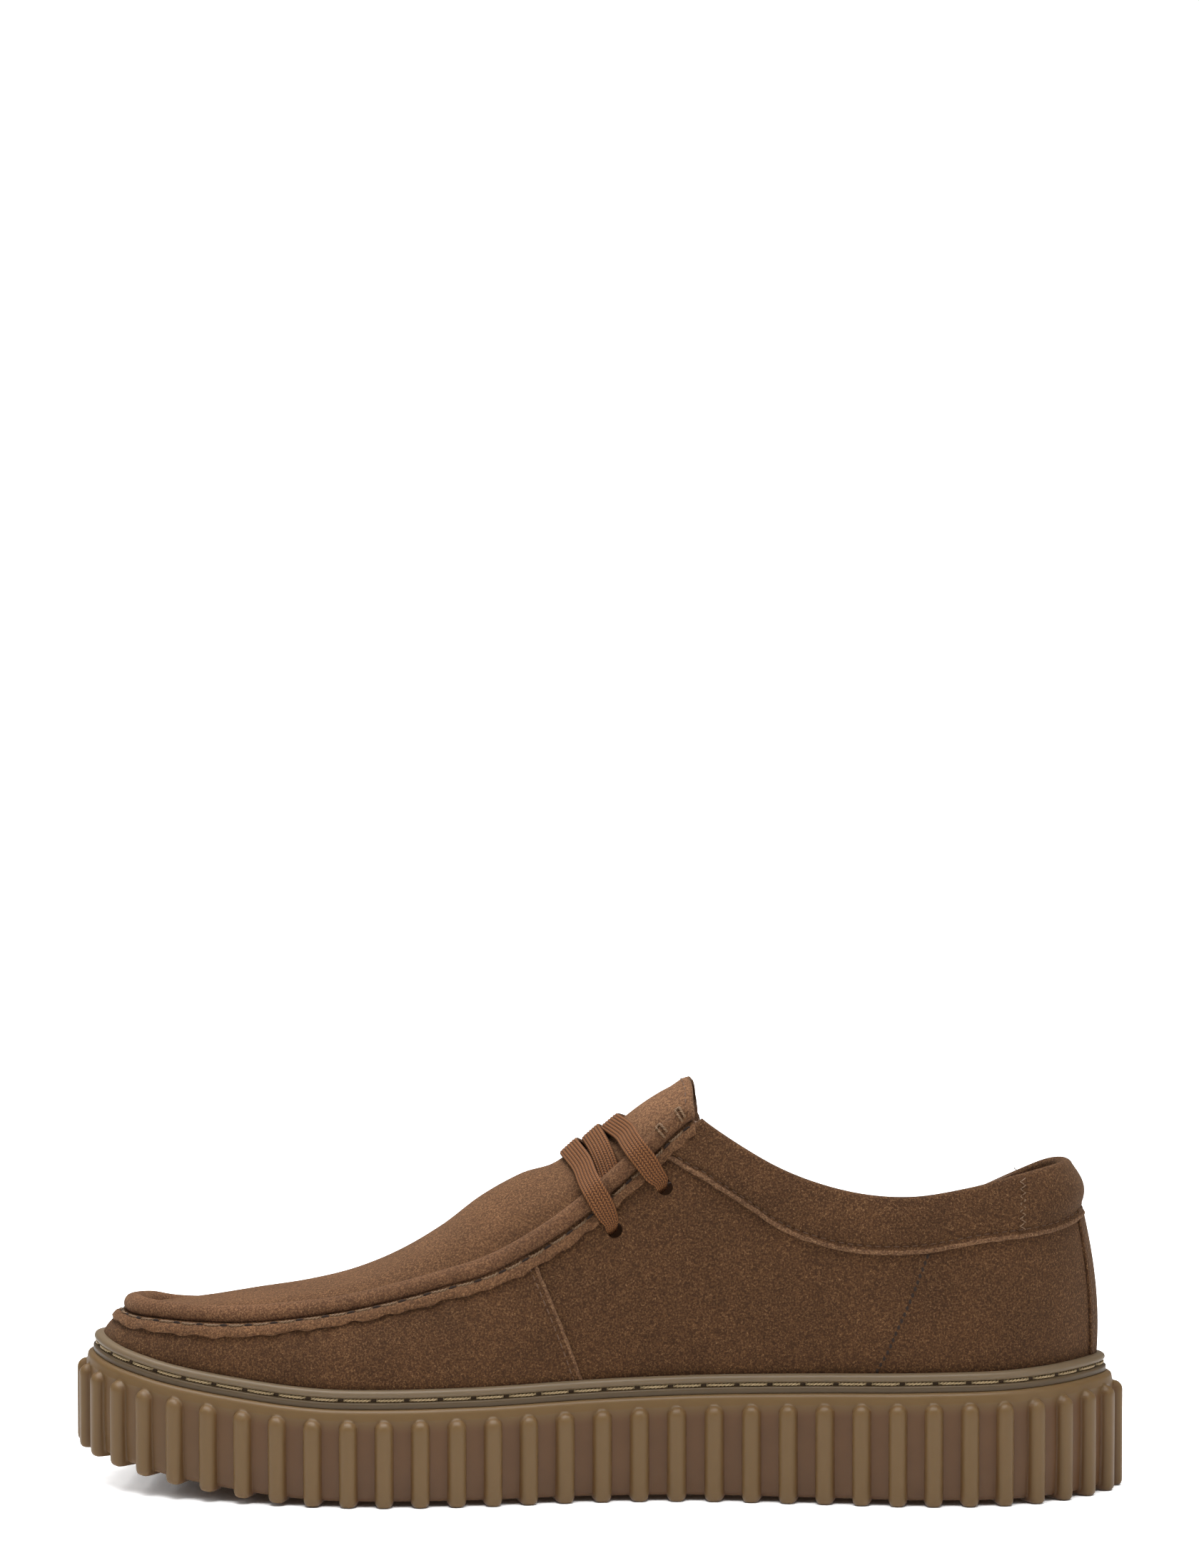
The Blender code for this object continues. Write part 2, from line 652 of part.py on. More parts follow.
def make_tongue():
    """The tongue, from under the end of the plug up past the top of the throat."""
    starts = [-ROLL_WIDTH / 2] * (len(TONGUE_COLUMNS) - 1) + [ROLL_WIDTH * 1.5]
    grid = np.array([tongue_row(share, start) for share, start in zip(TONGUE_COLUMNS, starts)])
    along = np.gradient(grid, axis=0)
    across = np.gradient(grid, axis=1)
    normals = np.cross(across, along)
    normals /= np.linalg.norm(normals, axis=2)[:, :, None]
    normals *= np.sign(normals[:, :, 2:3].mean())
    body = bmesh.new()
    loft(body, grid - normals * (TONGUE_GAP + TONGUE_WALL), closed=False)
    tongue = make_object("tongue", body, (0.15, 0.075, 0.04), 0.95)
    wall = tongue.modifiers.new("wall", "SOLIDIFY")
    wall.thickness = TONGUE_WALL
    wall.offset = 1
    wall.use_even_offset = True
    return tongue


def lace_knots(run, side):
    """(share, distance in from the ridge, lift over the last) of a run, from its end to the crown."""
    over = UPPER_WALL + CLEARANCE * 4 + LACE_THICKNESS / 2
    roll = ROLL_WIDTH / 4
    flange = ROLL_WIDTH / 2 + FLANGE_WIDTH
    crown = last_point(side, run.crown, 0)[1]
    middle = (run.ridge + run.crown) / 2
    lift = run.crown_lift * LACE_THICKNESS
    if run.eyelet:
        down = run.eyelet.down * INSTEP_HEIGHT
        at_flange = run.ridge + (run.eyelet.feather - run.ridge) * flange / down
        knots = [(run.eyelet.feather, -down, over), (at_flange, -flange, over + FLANGE_STEP)]
        knots += [(run.ridge, -roll, over + ROLL_HEIGHT), (run.ridge, roll, over + ROLL_HEIGHT)]
        knots += [(middle, crown / 2, (over + lift) / 2)]
    else:
        knots = [(run.ridge, ROLL_WIDTH / 2 + CLEARANCE * 6, lift), (middle, crown / 2, lift)]
    return knots + [(run.crown, crown, lift)]


def make_lace_run(run):
    """One run of the flat lace, from side to side over the throat."""
    places = []
    widths = []
    lifts = []
    for side in (-1, 1):
        knots = lace_knots(run, side)
        for share, distance, lift in knots if side < 0 else knots[-2::-1]:
            place = last_point(side, share, distance)[0]
            places.append(place)
            widths.append(last_point(side, share + SHARE_NUDGE, distance)[0] - place)
            lifts.append(lift)
    places = np.array(places)
    widths = np.array(widths)
    tangents = np.gradient(places, axis=0)
    normals = np.cross(widths, tangents)
    normals /= np.linalg.norm(normals, axis=1)[:, None]
    normals *= np.sign(normals[len(normals) // 2, 2])
    knots = places + normals * np.array(lifts)[:, None]
    run_length = np.concatenate([[0], np.cumsum(np.linalg.norm(np.diff(knots, axis=0), axis=1))])
    steps = np.linspace(0, run_length[-1], LACE_STRIPS + 1)
    line = np.stack([smooth(run_length, knots[:, axis], steps) for axis in range(3)], axis=1)
    across = np.stack([smooth(run_length, widths[:, axis], steps) for axis in range(3)], axis=1)
    tangents = np.gradient(line, axis=0)
    tangents /= np.linalg.norm(tangents, axis=1)[:, None]
    across -= tangents * (across * tangents).sum(axis=1)[:, None]
    across /= np.linalg.norm(across, axis=1)[:, None]
    up = np.cross(across, tangents)
    half_width = LACE_WIDTH / 2
    half_thick = LACE_THICKNESS / 2
    flat = half_width - half_thick
    section = ((-half_width, 0), (-flat, -half_thick), (flat, -half_thick), (half_width, 0))
    section += ((flat, half_thick), (-flat, half_thick))
    body = bmesh.new()
    rings = [[line[i] + across[i] * w + up[i] * t for w, t in section] for i in range(len(line))]
    made = loft(body, rings)
    body.faces.new(made[0])
    body.faces.new(made[-1])
    return make_object(run.name, body, (0.22, 0.12, 0.06), 0.8)


for stale in list(bpy.data.objects):
    bpy.data.objects.remove(stale)
SHOE = bpy.data.collections.new("lace_up_shoe")
CUTTERS = bpy.data.collections.new("cutters")
for group in (SHOE, CUTTERS):
    bpy.context.scene.collection.children.link(group)

make_outsole()
make_welt()
make_insole()
make_upper()
make_tongue()
for lace_run in LACE_RUNS:
    make_lace_run(lace_run)
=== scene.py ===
"""A low moccasin-style lace-up shoe for the right foot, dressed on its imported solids.

The toe points along -X, the medial (inner) side faces -Y and the camera, and the floor is z = 0.
Lengths are in metres. A side is -1 for the medial half and +1 for the lateral half, and a share
runs from 0 at the toe to 1 at the heel.
"""

import math
from collections import namedtuple

import bmesh
import bpy
import numpy as np
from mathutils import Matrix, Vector


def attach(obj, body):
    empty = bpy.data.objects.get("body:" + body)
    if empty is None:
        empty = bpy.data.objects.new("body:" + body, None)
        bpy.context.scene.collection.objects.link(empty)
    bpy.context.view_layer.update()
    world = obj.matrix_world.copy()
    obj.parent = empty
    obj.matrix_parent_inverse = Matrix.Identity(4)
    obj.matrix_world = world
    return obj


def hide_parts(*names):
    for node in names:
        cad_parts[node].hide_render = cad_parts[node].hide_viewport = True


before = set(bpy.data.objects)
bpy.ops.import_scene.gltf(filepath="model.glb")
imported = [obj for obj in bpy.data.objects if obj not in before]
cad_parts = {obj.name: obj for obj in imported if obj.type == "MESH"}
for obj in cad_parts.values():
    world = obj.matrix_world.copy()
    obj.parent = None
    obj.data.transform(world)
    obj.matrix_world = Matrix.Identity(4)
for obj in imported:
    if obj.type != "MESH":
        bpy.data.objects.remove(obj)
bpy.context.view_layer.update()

# The sole's side
# A chunky cup sole moulded in translucent gum rubber. A rounded shoulder runs round its top, and
# finger-shaped ribs stand round its side and run on across the underside as bars.

LENGTH = 0.302
BALL_WIDTH = 0.108
TOE_SPRING = 0.0108
SOLE_HEIGHT = 0.0326
SPRING_END = 0.263
RIBS_A_SIDE = 33
RIB_WIDTH = 0.0054
RIB_DEPTH = 0.0030
RIB_DROP = 0.0082

Outline = namedtuple("Outline", "along across")
MEDIAL_OUTLINE = [
    Outline(*row) for row in (
        (0.000, -0.056), (0.020, -0.225), (0.068, -0.352), (0.160, -0.443), (0.290, -0.499),
        (0.400, -0.462), (0.500, -0.390), (0.595, -0.364), (0.700, -0.388), (0.815, -0.417),
        (0.905, -0.372), (0.966, -0.238), (1.000, -0.056),
    )
]
LATERAL_OUTLINE = [
    Outline(*row) for row in (
        (0.020, 0.120), (0.068, 0.255), (0.155, 0.390), (0.250, 0.472), (0.370, 0.499), (0.500, 0.437),
        (0.595, 0.378), (0.700, 0.330), (0.815, 0.305), (0.905, 0.260), (0.966, 0.126),
    )
]
AXIS = MEDIAL_OUTLINE[0].across

WeltLine = namedtuple("WeltLine", "along up")
WELT_LINE = [
    WeltLine(*row) for row in (
        (0.00, 0.990), (0.14, 1.005), (0.30, 1.000), (0.42, 1.018), (0.54, 1.060), (0.68, 1.106),
        (0.80, 1.135), (0.90, 1.152), (1.00, 1.184),
    )
]


def smooth(keys, values, places):
    """Values at the places, along a smooth curve through the keyed values."""
    keys = np.asarray(keys, float)
    values = np.asarray(values, float)
    gaps = np.diff(keys)
    rises = np.diff(values) / gaps
    inner = (rises[:-1] * gaps[1:] + rises[1:] * gaps[:-1]) / (gaps[:-1] + gaps[1:])
    slopes = np.concatenate([[2 * rises[0] - inner[0]], inner, [2 * rises[-1] - inner[-1]]])
    i = np.clip(np.searchsorted(keys, places, side="right") - 1, 0, len(gaps) - 1)
    t = (places - keys[i]) / gaps[i]
    held = values[i] * (1 + 2 * t) * (1 - t) ** 2 + values[i + 1] * t * t * (3 - 2 * t)
    return held + gaps[i] * t * (1 - t) * (slopes[i] * (1 - t) - slopes[i + 1] * t)


def arc_run(points):
    """How far along a line of points each of them lies."""
    return np.concatenate([[0], np.cumsum(np.linalg.norm(np.diff(points, axis=0), axis=1))])


def along_path(path, run, places):
    """What a path's rows say at these distances along it, such as its points or their normals."""
    return np.stack([np.interp(places, run, path[:, axis]) for axis in range(3)], axis=1)


def unit(vectors):
    return vectors / np.linalg.norm(vectors, axis=-1, keepdims=True)


def read(table, key, name, places):
    """One named column of a table at the places, which lie along its key column."""
    keys = [getattr(row, key) for row in table]
    return smooth(keys, [getattr(row, name) for row in table], places)


def outline_lines(samples=1500):
    """For each side, the arc lengths, points and inward normals of the sole's outline, toe to heel."""
    rows = MEDIAL_OUTLINE + LATERAL_OUTLINE[::-1]
    loop = np.array([((row.along - 0.5) * LENGTH, row.across * BALL_WIDTH) for row in rows])
    wrap = 3
    looped = np.concatenate([loop[-wrap:], loop, loop[: wrap + 1]])
    run = arc_run(looped)
    run -= run[wrap]
    whole = run[wrap + len(loop)]
    heel = run[wrap + len(MEDIAL_OUTLINE) - 1]
    nudge = 1e-5
    lines = {}
    for side, start in ((-1, 0.0), (1, whole)):
        places = np.linspace(start, heel, samples)
        x, y = (smooth(run, looped[:, axis], places) for axis in (0, 1))
        ahead = [smooth(run, looped[:, axis], places + nudge) for axis in (0, 1)]
        behind = [smooth(run, looped[:, axis], places - nudge) for axis in (0, 1)]
        tangent = np.array(ahead) - np.array(behind)
        tangent /= np.linalg.norm(tangent, axis=0)
        arc = np.concatenate([[0], np.cumsum(np.hypot(np.diff(x), np.diff(y)))])
        lines[side] = (arc, x, y, -tangent[1], tangent[0])
    return lines


OUTLINE_LINES = outline_lines()


def rim(side, shares, insets):
    """Points this far inside the sole's outline, as an array of (x, y), at arc shares."""
    arc, x, y, inward_x, inward_y = OUTLINE_LINES[side]
    place = np.asarray(shares) * arc[-1]
    across_x = np.interp(place, arc, x) + np.interp(place, arc, inward_x) * insets
    across_y = np.interp(place, arc, y) + np.interp(place, arc, inward_y) * insets
    return np.stack([across_x, across_y], axis=-1)


def tread_height(x):
    """The toe spring: how far the sole's underside has left the floor at x."""
    run = np.clip(SPRING_END - (x / LENGTH + 0.5), 0, None) / SPRING_END
    return TOE_SPRING * run**1.7


def welt_top(x):
    along = np.clip(x / LENGTH + 0.5, 0, 1)
    return read(WELT_LINE, "along", "up", along) * SOLE_HEIGHT + tread_height(x)


def ease(low, high, value):
    """0 under low, 1 over high, and a soft step between."""
    t = np.clip((value - low) / (high - low), 0, 1)
    return t * t * (3 - 2 * t)


def linear(hex_colour):
    """A linear RGBA colour from an sRGB hex value."""
    parts = [int(hex_colour[i : i + 2], 16) / 255 for i in (1, 3, 5)]
    return [*(c / 12.92 if c <= 0.04045 else ((c + 0.055) / 1.055) ** 2.4 for c in parts), 1.0]


def node(tree, kind, settings=None, **inputs):
    """Add a shader node. Each input is a value, or the output socket that feeds it."""
    made = tree.nodes.new(kind)
    for key, value in (settings or {}).items():
        setattr(made, key, value)
    for key, value in inputs.items():
        socket = made.inputs[int(key[1:])] if key[0] == "i" and key[1:].isdigit() else made.inputs[key]
        if isinstance(value, bpy.types.NodeSocket):
            tree.links.new(value, socket)
        else:
            socket.default_value = value
    return made


def blend(tree, factor, low, high):
    """A colour between two. Each of them is a hex value, or the socket that feeds it."""
    low, high = (linear(end) if isinstance(end, str) else end for end in (low, high))
    return node(tree, "ShaderNodeMix", {"data_type": "RGBA"}, i0=factor, A=low, B=high).outputs["Result"]


def noise(tree, size_mm, detail, **more):
    """An uneven pattern with features of this size, in the object's own place."""
    place = node(tree, "ShaderNodeTexCoord").outputs["Object"]
    scale = 1000 / size_mm
    return node(tree, "ShaderNodeTexNoise", Vector=place, Scale=scale, Detail=detail, **more).outputs["Fac"]


def rescale(tree, value, low, high, to_low=0.0, to_high=1.0):
    """A value taken from one range to another, and held inside it."""
    return node(tree, "ShaderNodeMapRange", i0=value, i1=low, i2=high, i3=to_low, i4=to_high).outputs[0]


def maths(tree, operation, *values):
    inputs = {f"i{k}": value for k, value in enumerate(values)}
    return node(tree, "ShaderNodeMath", {"operation": operation}, **inputs).outputs[0]


def paint(tree, shader, colour, height=None, strength=0.0, depth=0.0):
    """Feed the shader's colour and, where a height is given, a bump of this depth."""
    tree.links.new(colour, shader.inputs["Base Color"])
    if height is not None:
        bump = node(tree, "ShaderNodeBump", Height=height, Strength=strength, Distance=depth)
        tree.links.new(bump.outputs["Normal"], shader.inputs["Normal"])


def new_material(name, colour, roughness):
    """A material, its node tree and its shader, with the colour and roughness set."""
    material = bpy.data.materials.new(name)
    material.use_nodes = True
    shader = material.node_tree.nodes["Principled BSDF"]
    shader.inputs["Base Color"].default_value = linear(colour)
    shader.inputs["Roughness"].default_value = roughness
    return material, material.node_tree, shader


def gum_rubber(name, colour, dark, roughness, lit_colour):
    """Moulded gum rubber: a translucent, satin surface with faint flow marks.

    Where the mesh's shade is 1, as on the rib faces, it takes the lit colour: painted light standing in for
    the light they catch.
    """
    material, tree, shader = new_material(name, colour, roughness)
    shader.inputs["Subsurface Weight"].default_value = 0.22
    shader.inputs["Subsurface Radius"].default_value = (1.0, 0.62, 0.38)
    shader.inputs["Subsurface Scale"].default_value = 0.003
    shader.inputs["Specular IOR Level"].default_value = 0.25
    flow_mm = 14
    tone = blend(tree, noise(tree, flow_mm, 3.0), dark, colour)
    shade = node(tree, "ShaderNodeAttribute", {"attribute_name": "shade"}).outputs["Fac"]
    grain_mm = 0.6
    paint(tree, shader, blend(tree, shade, tone, lit_colour), noise(tree, grain_mm, 2.0), 0.12, 0.0001)
    return material


def mesh_of(name, made):
    """The bmesh as a mesh, and the bmesh freed."""
    mesh = bpy.data.meshes.new(name)
    made.to_mesh(mesh)
    made.free()
    return mesh


def stand(name, mesh, material):
    """A piece of the mesh, smooth and in its material, in the scene."""
    mesh.shade_smooth()
    mesh.materials.append(material)
    piece = bpy.data.objects.new(name, mesh)
    bpy.context.scene.collection.objects.link(piece)
    return piece


def surface(name, points, material, weld=False, thickness=0.0, bevel=0.0, core=None, shade=None):
    """A piece from rows of points. Its normals face away from the core, or the shoe's middle line.

    With a thickness the sheet gets a wall on its inner side, and with a bevel that wall's edges are
    rounded. The shade is a value for each point, which the material reads to paint light or shade.
    """
    shade = np.zeros(points.shape[:2]) if shade is None else shade
    core = points * (1, 0, 0) + (0, AXIS * BALL_WIDTH, 0.045) if core is None else core
    along = np.gradient(points, axis=1)
    across = np.gradient(points, axis=0)
    if (np.cross(along, across) * (points - core)).sum() < 0:
        points = points[:, ::-1]
        shade = shade[:, ::-1]
    rows, columns = points.shape[:2]
    made = bmesh.new()
    made.loops.layers.uv.new("UVMap")
    shades = made.verts.layers.float.new("shade")
    bmesh.ops.create_grid(made, x_segments=columns - 1, y_segments=rows - 1, size=1, calc_uvs=True)
    for vertex in made.verts:
        i = round((vertex.co.y + 1) / 2 * (rows - 1))
        j = round((vertex.co.x + 1) / 2 * (columns - 1))
        vertex.co = points[i, j]
        vertex[shades] = shade[i, j]
    if weld:
        bmesh.ops.remove_doubles(made, verts=made.verts, dist=1e-6)
    piece = stand(name, mesh_of(name, made), material)
    if thickness:
        wall = piece.modifiers.new("wall", "SOLIDIFY")
        wall.thickness = thickness
        wall.offset = -1
    if bevel:
        edge = piece.modifiers.new("edge", "BEVEL")
        edge.width = bevel
        edge.segments = 2
        edge.limit_method = "ANGLE"
        edge.angle_limit = math.radians(50)
    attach(piece, "root")
    return piece


def rib_columns(side):
    """(share, distance from the nearest rib's middle) for each column, toe to heel."""
    offsets = (0.0, 0.6, 1.1, 1.5, 1.85, 2.15, 2.4, 2.57, 2.7, 2.85, 3.2, 4.2)
    length = OUTLINE_LINES[side][0][-1]
    columns = []
    for rib in range(RIBS_A_SIDE + 1):
        for sign in (-1, 1):
            for offset in offsets:
                if offset or sign > 0:
                    columns.append((rib / RIBS_A_SIDE + sign * offset / 1000 / length, offset / 1000))
        columns.append(((rib + 0.5) / RIBS_A_SIDE, length / RIBS_A_SIDE / 2))
    columns = sorted({(share, offset) for share, offset in columns if -1e-9 <= share <= 1 + 1e-9})
    return np.array(columns)


def rib_weight(offset, under_top):
    """How much a place on the side belongs to a rib: its top is round like a finger's end."""
    half = RIB_WIDTH / 2
    rise = np.clip(under_top / half, 0, 1)
    reach = half * np.sqrt(1 - (1 - rise) ** 2)
    inside = np.clip(offset / np.maximum(reach, 1e-6), 0, 1)
    return (1 - inside**3) ** 0.6 * np.sqrt(1 - (1 - rise) ** 2)


# The levels down the side: (depth under the welt's top, inset), in millimetres, as far as the
# wall, then shares of the wall's height, then heights over the tread for gap and rib
SHOULDER = (
    (5.35, 7.0), (5.3, 5.2), (5.3, 4.6), (5.42, 4.05), (5.7, 3.6), (6.1, 3.3), (6.7, 3.12), (7.5, 3.02),
)
RIB_TOPS = (8.2, 8.3, 8.45, 8.65, 8.9, 9.2, 9.6, 10.1, 10.8, 11.8)
WALL_SHARES = (0.2, 0.4, 0.6, 0.8, 1.0)
Foot = namedtuple("Foot", "gap_up gap_inset rib_up rib_inset")
FEET = (
    Foot(5.2, 3.0, 4.0, 0.0),
    Foot(3.5, 3.0, 2.2, 0.0),
    Foot(2.7, 3.1, 1.3, 0.05),
    Foot(2.1, 3.4, 0.7, 0.25),
    Foot(1.7, 3.8, 0.3, 0.6),
    Foot(1.45, 4.4, 0.07, 1.2),
    Foot(1.4, 5.4, 0.0, 2.2),
    Foot(1.4, 9.0, 0.0, 6.5),
)


def sole_side(side):
    """Columns of the sole's side on one half, each from its top edge down to the tread."""
    columns = rib_columns(side)
    share, offset = columns[:, :1], columns[:, 1:]
    height_x = rim(side, share[:, 0], 0)[:, 0]
    top = welt_top(height_x)[:, None]
    tread = tread_height(height_x)[:, None]
    levels = [(top - depth / 1000, np.full_like(share, inset / 1000)) for depth, inset in SHOULDER]
    wall_foot = tread + FEET[0].gap_up / 1000
    wall_top = top - RIB_TOPS[-1] / 1000
    heights = [top - depth / 1000 for depth in RIB_TOPS]
    heights += [wall_top + (wall_foot - wall_top) * part for part in WALL_SHARES[:-1]]
    for height in heights:
        weight = rib_weight(offset, top - RIB_DROP - height)
        bulge = 0.00035 * np.sin(np.pi * (top - height) / (top - tread))
        levels.append((height, RIB_DEPTH * (1 - weight) - bulge * (1 - weight)))
    full = rib_weight(offset, 1.0)
    for foot in FEET:
        up = (foot.gap_up + (foot.rib_up - foot.gap_up) * full) / 1000
        inset = (foot.gap_inset + (foot.rib_inset - foot.gap_inset) * full) / 1000
        levels.append((tread + up, inset))
    heights = np.concatenate([height for height, _ in levels], axis=1)
    insets = np.concatenate([inset for _, inset in levels], axis=1)
    places = rim(side, share, insets)
    # Painted light: the rib faces, the shoulder and the toe take the lighter colour, as if catching the
    # light and glowing through the rubber, and the wall between the ribs keeps the darker, shaded tone
    rib_face_lit = 1 - ease(0.2 * RIB_DEPTH, 0.9 * RIB_DEPTH, insets)
    shoulder = 1 - ease(0.0075, 0.0120, top - heights)
    toe_glow = 0.6 * (1 - ease(-0.145, -0.085, places[..., 0]))
    glow = np.maximum(np.maximum(rib_face_lit, shoulder), toe_glow)
    return np.concatenate([places, heights[:, :, None], glow[:, :, None]], axis=2)


medial_side = sole_side(-1)
lateral_side = sole_side(1)
# The lighter colour is painted light on the rib faces, the shoulder and the toe
rubber = gum_rubber("gum_rubber_moulded", "#5c4026", "#4f3620", 0.45, lit_colour="#614b2e")
around = np.concatenate([medial_side, lateral_side[-2::-1]])
sole_side_piece = surface("sole_side", around[..., :3], rubber, weld=True, shade=around[..., 3])
medial_side = medial_side[..., :3]
lateral_side = lateral_side[..., :3]

across_shares = np.linspace(0, 1, 12)[None, :, None]
underside = medial_side[:, None, -1] * (1 - across_shares) + lateral_side[:, None, -1] * across_shares
sole_under = surface("sole_underside", underside[1:-1], rubber)
for piece in (sole_side_piece, sole_under):
    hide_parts("outsole")

# The welt
# A strip of the same rubber, a little greyer, moulded round the foot of the upper: a flat band, a
# groove for the stitching and a soft rounded lip over it.

# (inset, depth under the welt's top), in millimetres
WELT_SECTION = (
    (6.6, 5.6), (5.2, 5.5), (4.9, 5.3), (4.8, 5.0), (4.8, 4.0), (4.85, 3.65), (5.1, 3.45), (5.7, 3.35),
    (6.2, 3.2), (6.4, 2.8), (6.2, 2.4), (5.75, 2.25), (5.45, 2.1), (5.2, 1.75), (5.1, 1.35),
    (5.2, 0.9), (5.45, 0.5), (5.9, 0.2), (6.45, 0.05), (7.2, 0.0), (8.0, 0.1), (8.8, 0.4),
)
WELT_COLUMNS = 420


def ring_around(shares):
    """(side, share) all round, from the toe down the medial side and back up the lateral side."""
    return [(-1, share) for share in shares] + [(1, share) for share in shares[-2::-1]]


def toe_around(shares):
    """(side, share) from the lateral side's far end round the toe to the medial side's."""
    return [(1, share) for share in shares[::-1]] + [(-1, share) for share in shares[1:]]


def rim_rings(section, shares):
    """Points for each place round the sole and each (inset, depth) of the section, in millimetres."""
    insets = np.array([inset for inset, _ in section]) / 1000
    depths = np.array([depth for _, depth in section]) / 1000
    rings = []
    for side, share in ring_around(shares):
        places = rim(side, np.full(len(insets), share), insets)
        height = welt_top(rim(side, share, 0.0)[0]) - depths
        rings.append(np.column_stack([places, height]))
    return np.array(rings)


welt_shares = np.linspace(0, 1, WELT_COLUMNS)
welt_rubber = gum_rubber("welt_rubber_moulded", "#52432f", "#493b29", 0.45, lit_colour="#635440")
welt_rings = rim_rings(WELT_SECTION, welt_shares)
# Painted highlight: the rounded lip takes the lighter colour where it catches the top light, and the band
# below keeps the darker tone as painted shade
lip = np.array([depth < 2.2 for _, depth in WELT_SECTION], float)
lip = np.broadcast_to(lip, welt_rings.shape[:2])
welt = surface("welt_strip", welt_rings, welt_rubber, weld=True, shade=lip)
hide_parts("welt")

# The welt's stitching
# Waxed two-ply thread, cream and gold, lies in the groove in long stitches, and dives into the
# rubber between them.

WELT_PITCH = 0.0094
WELT_STITCH = 0.0077
SEAM_THREAD = 0.00027


def thread_material(name, colour, dark, roughness):
    """Spun, waxed thread: the plies are modelled, and its fibres are a fine change of tone."""
    material, tree, shader = new_material(name, colour, roughness)
    fibre_mm = 0.5
    paint(tree, shader, blend(tree, noise(tree, fibre_mm, 2.0), dark, colour))
    return material


def stitch_spans(path, pitch, length):
    """The (first, last) distances of each stitch along a path of points."""
    run = arc_run(path)
    count = int((run[-1] - length) / pitch) + 1
    return run, [(k * pitch, k * pitch + length) for k in range(count)]


def stitches(name, path, normals, pitch, length, radius, material, plies=2, dive=0.0006):
    """Stitches along a path, on its normals. Each is one thread, or plies that twist together."""
    run, spans = stitch_spans(path, pitch, length)
    curve = bpy.data.curves.new(name, "CURVE")
    curve.dimensions = "3D"
    curve.bevel_depth = radius
    curve.bevel_resolution = 1
    curve.use_fill_caps = True
    steps = 22 if plies > 1 else 7
    for first, last in spans:
        places = np.linspace(first, last, steps)
        line = along_path(path, run, places)
        up = along_path(normals, run, places)
        t = np.linspace(-1, 1, steps)[:, None]
        line = line + up * (radius * 0.5 - dive * np.abs(t) ** 6)
        side = unit(np.cross(np.gradient(line, axis=0), up))
        for ply in range(plies):
            turn = np.pi * 2 * (places[:, None] - first) / (radius * 8) + np.pi * 2 * ply / plies
            apart = radius * 0.85 if plies > 1 else 0
            strand = line + (np.cos(turn) * side + np.sin(turn) * up) * apart
            spline = curve.splines.new("POLY")
            spline.points.add(steps - 1)
            spline.points.foreach_set("co", np.column_stack([strand, np.ones(steps)]).ravel())
    rough = bpy.data.objects.new(name + "_curve", curve)
    mesh = bpy.data.meshes.new_from_object(rough)
    bpy.data.objects.remove(rough)
    mesh.name = name
    mesh.materials.clear()
    piece = stand(name, mesh, material)
    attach(piece, "root")
    return piece


def dots(name, centres, normals, radius, material, stretch, ways):
    """Small dark marks of painted shadow, such as the shade in needle holes: flat eight-sided beads, drawn
    out along their ways.
    """
    made = bmesh.new()
    for centre, normal, way in zip(centres, normals, ways):
        turn = Vector(normal).to_track_quat("Z", "Y").to_matrix().to_4x4()
        before = set(made.verts)
        bmesh.ops.create_uvsphere(made, u_segments=8, v_segments=4, radius=radius)
        fresh = [vertex for vertex in made.verts if vertex not in before]
        bmesh.ops.scale(made, vec=(1, 1, 0.35), verts=fresh)
        bmesh.ops.transform(made, matrix=turn, verts=fresh)
        direction = Vector(way).normalized()
        for vertex in fresh:
            vertex.co += direction * vertex.co.dot(direction) * (stretch - 1)
        bmesh.ops.translate(made, vec=Vector(centre), verts=fresh)
    piece = stand(name, mesh_of(name, made), material)
    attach(piece, "root")
    return piece


def needle_holes(name, path, normals, pitch, length, radius, material, stretch, sink=0.0):
    """Painted shadow for the slits between the stitches of a seam: dark beads, drawn out along it."""
    run, spans = stitch_spans(path, pitch, length)
    places = np.array([last + (pitch - length) / 2 for _, last in spans])
    centres = along_path(path - normals * sink, run, places)
    ways = along_path(np.gradient(path, axis=0), run, places)
    dots(name, centres, along_path(normals, run, places), radius, material, stretch, ways)


def rim_path(inset, depth, samples=1400):
    """A closed line round the sole, with normals that point out of it."""
    shares = np.linspace(0, 1, samples)
    path = rim_rings([(inset, depth)], shares)[:, 0]
    inner = rim_rings([(inset + 1, depth)], shares)[:, 0]
    return path, unit(path - inner)


welt_path, welt_out = rim_path(5.95, 2.8)
welt_thread = thread_material("welt_thread_waxed", "#bda77e", "#6a5335", 0.45)
welt_line = (welt_path, welt_out, WELT_PITCH, WELT_STITCH)
welt_seam = stitches("welt_stitching", *welt_line, SEAM_THREAD, welt_thread)
# The shadow in a needle's slit: quite dull, since hardly any light comes back out of it
slit_shade, _, _ = new_material("needle_slit_shadow", "#23160d", 1.0)
welt_slit_shade, _, _ = new_material("welt_slit_shadow", "#3b2b1c", 1.0)
needle_holes("welt_needle_holes", *welt_line, 0.00034, welt_slit_shade, 2.2, sink=0.0003)

# The insole
# A footbed in smooth leather over cork, inside the upper on the sole.

INSOLE_SECTION = ((10.9, 4.6), (10.9, 2.6), (11.0, 1.9), (11.4, 1.3), (12.2, 1.0), (13.5, 0.9))


def smooth_leather(name, colour, dark):
    """Finished lining leather: matt, with fine pores."""
    material, tree, shader = new_material(name, colour, 0.62)
    place = node(tree, "ShaderNodeTexCoord").outputs["Object"]
    pore_mm = 0.9
    pores = node(tree, "ShaderNodeTexVoronoi", Vector=place, Scale=1000 / pore_mm).outputs["Distance"]
    paint(tree, shader, blend(tree, pores, dark, colour), pores, 0.25, 0.0002)
    return material


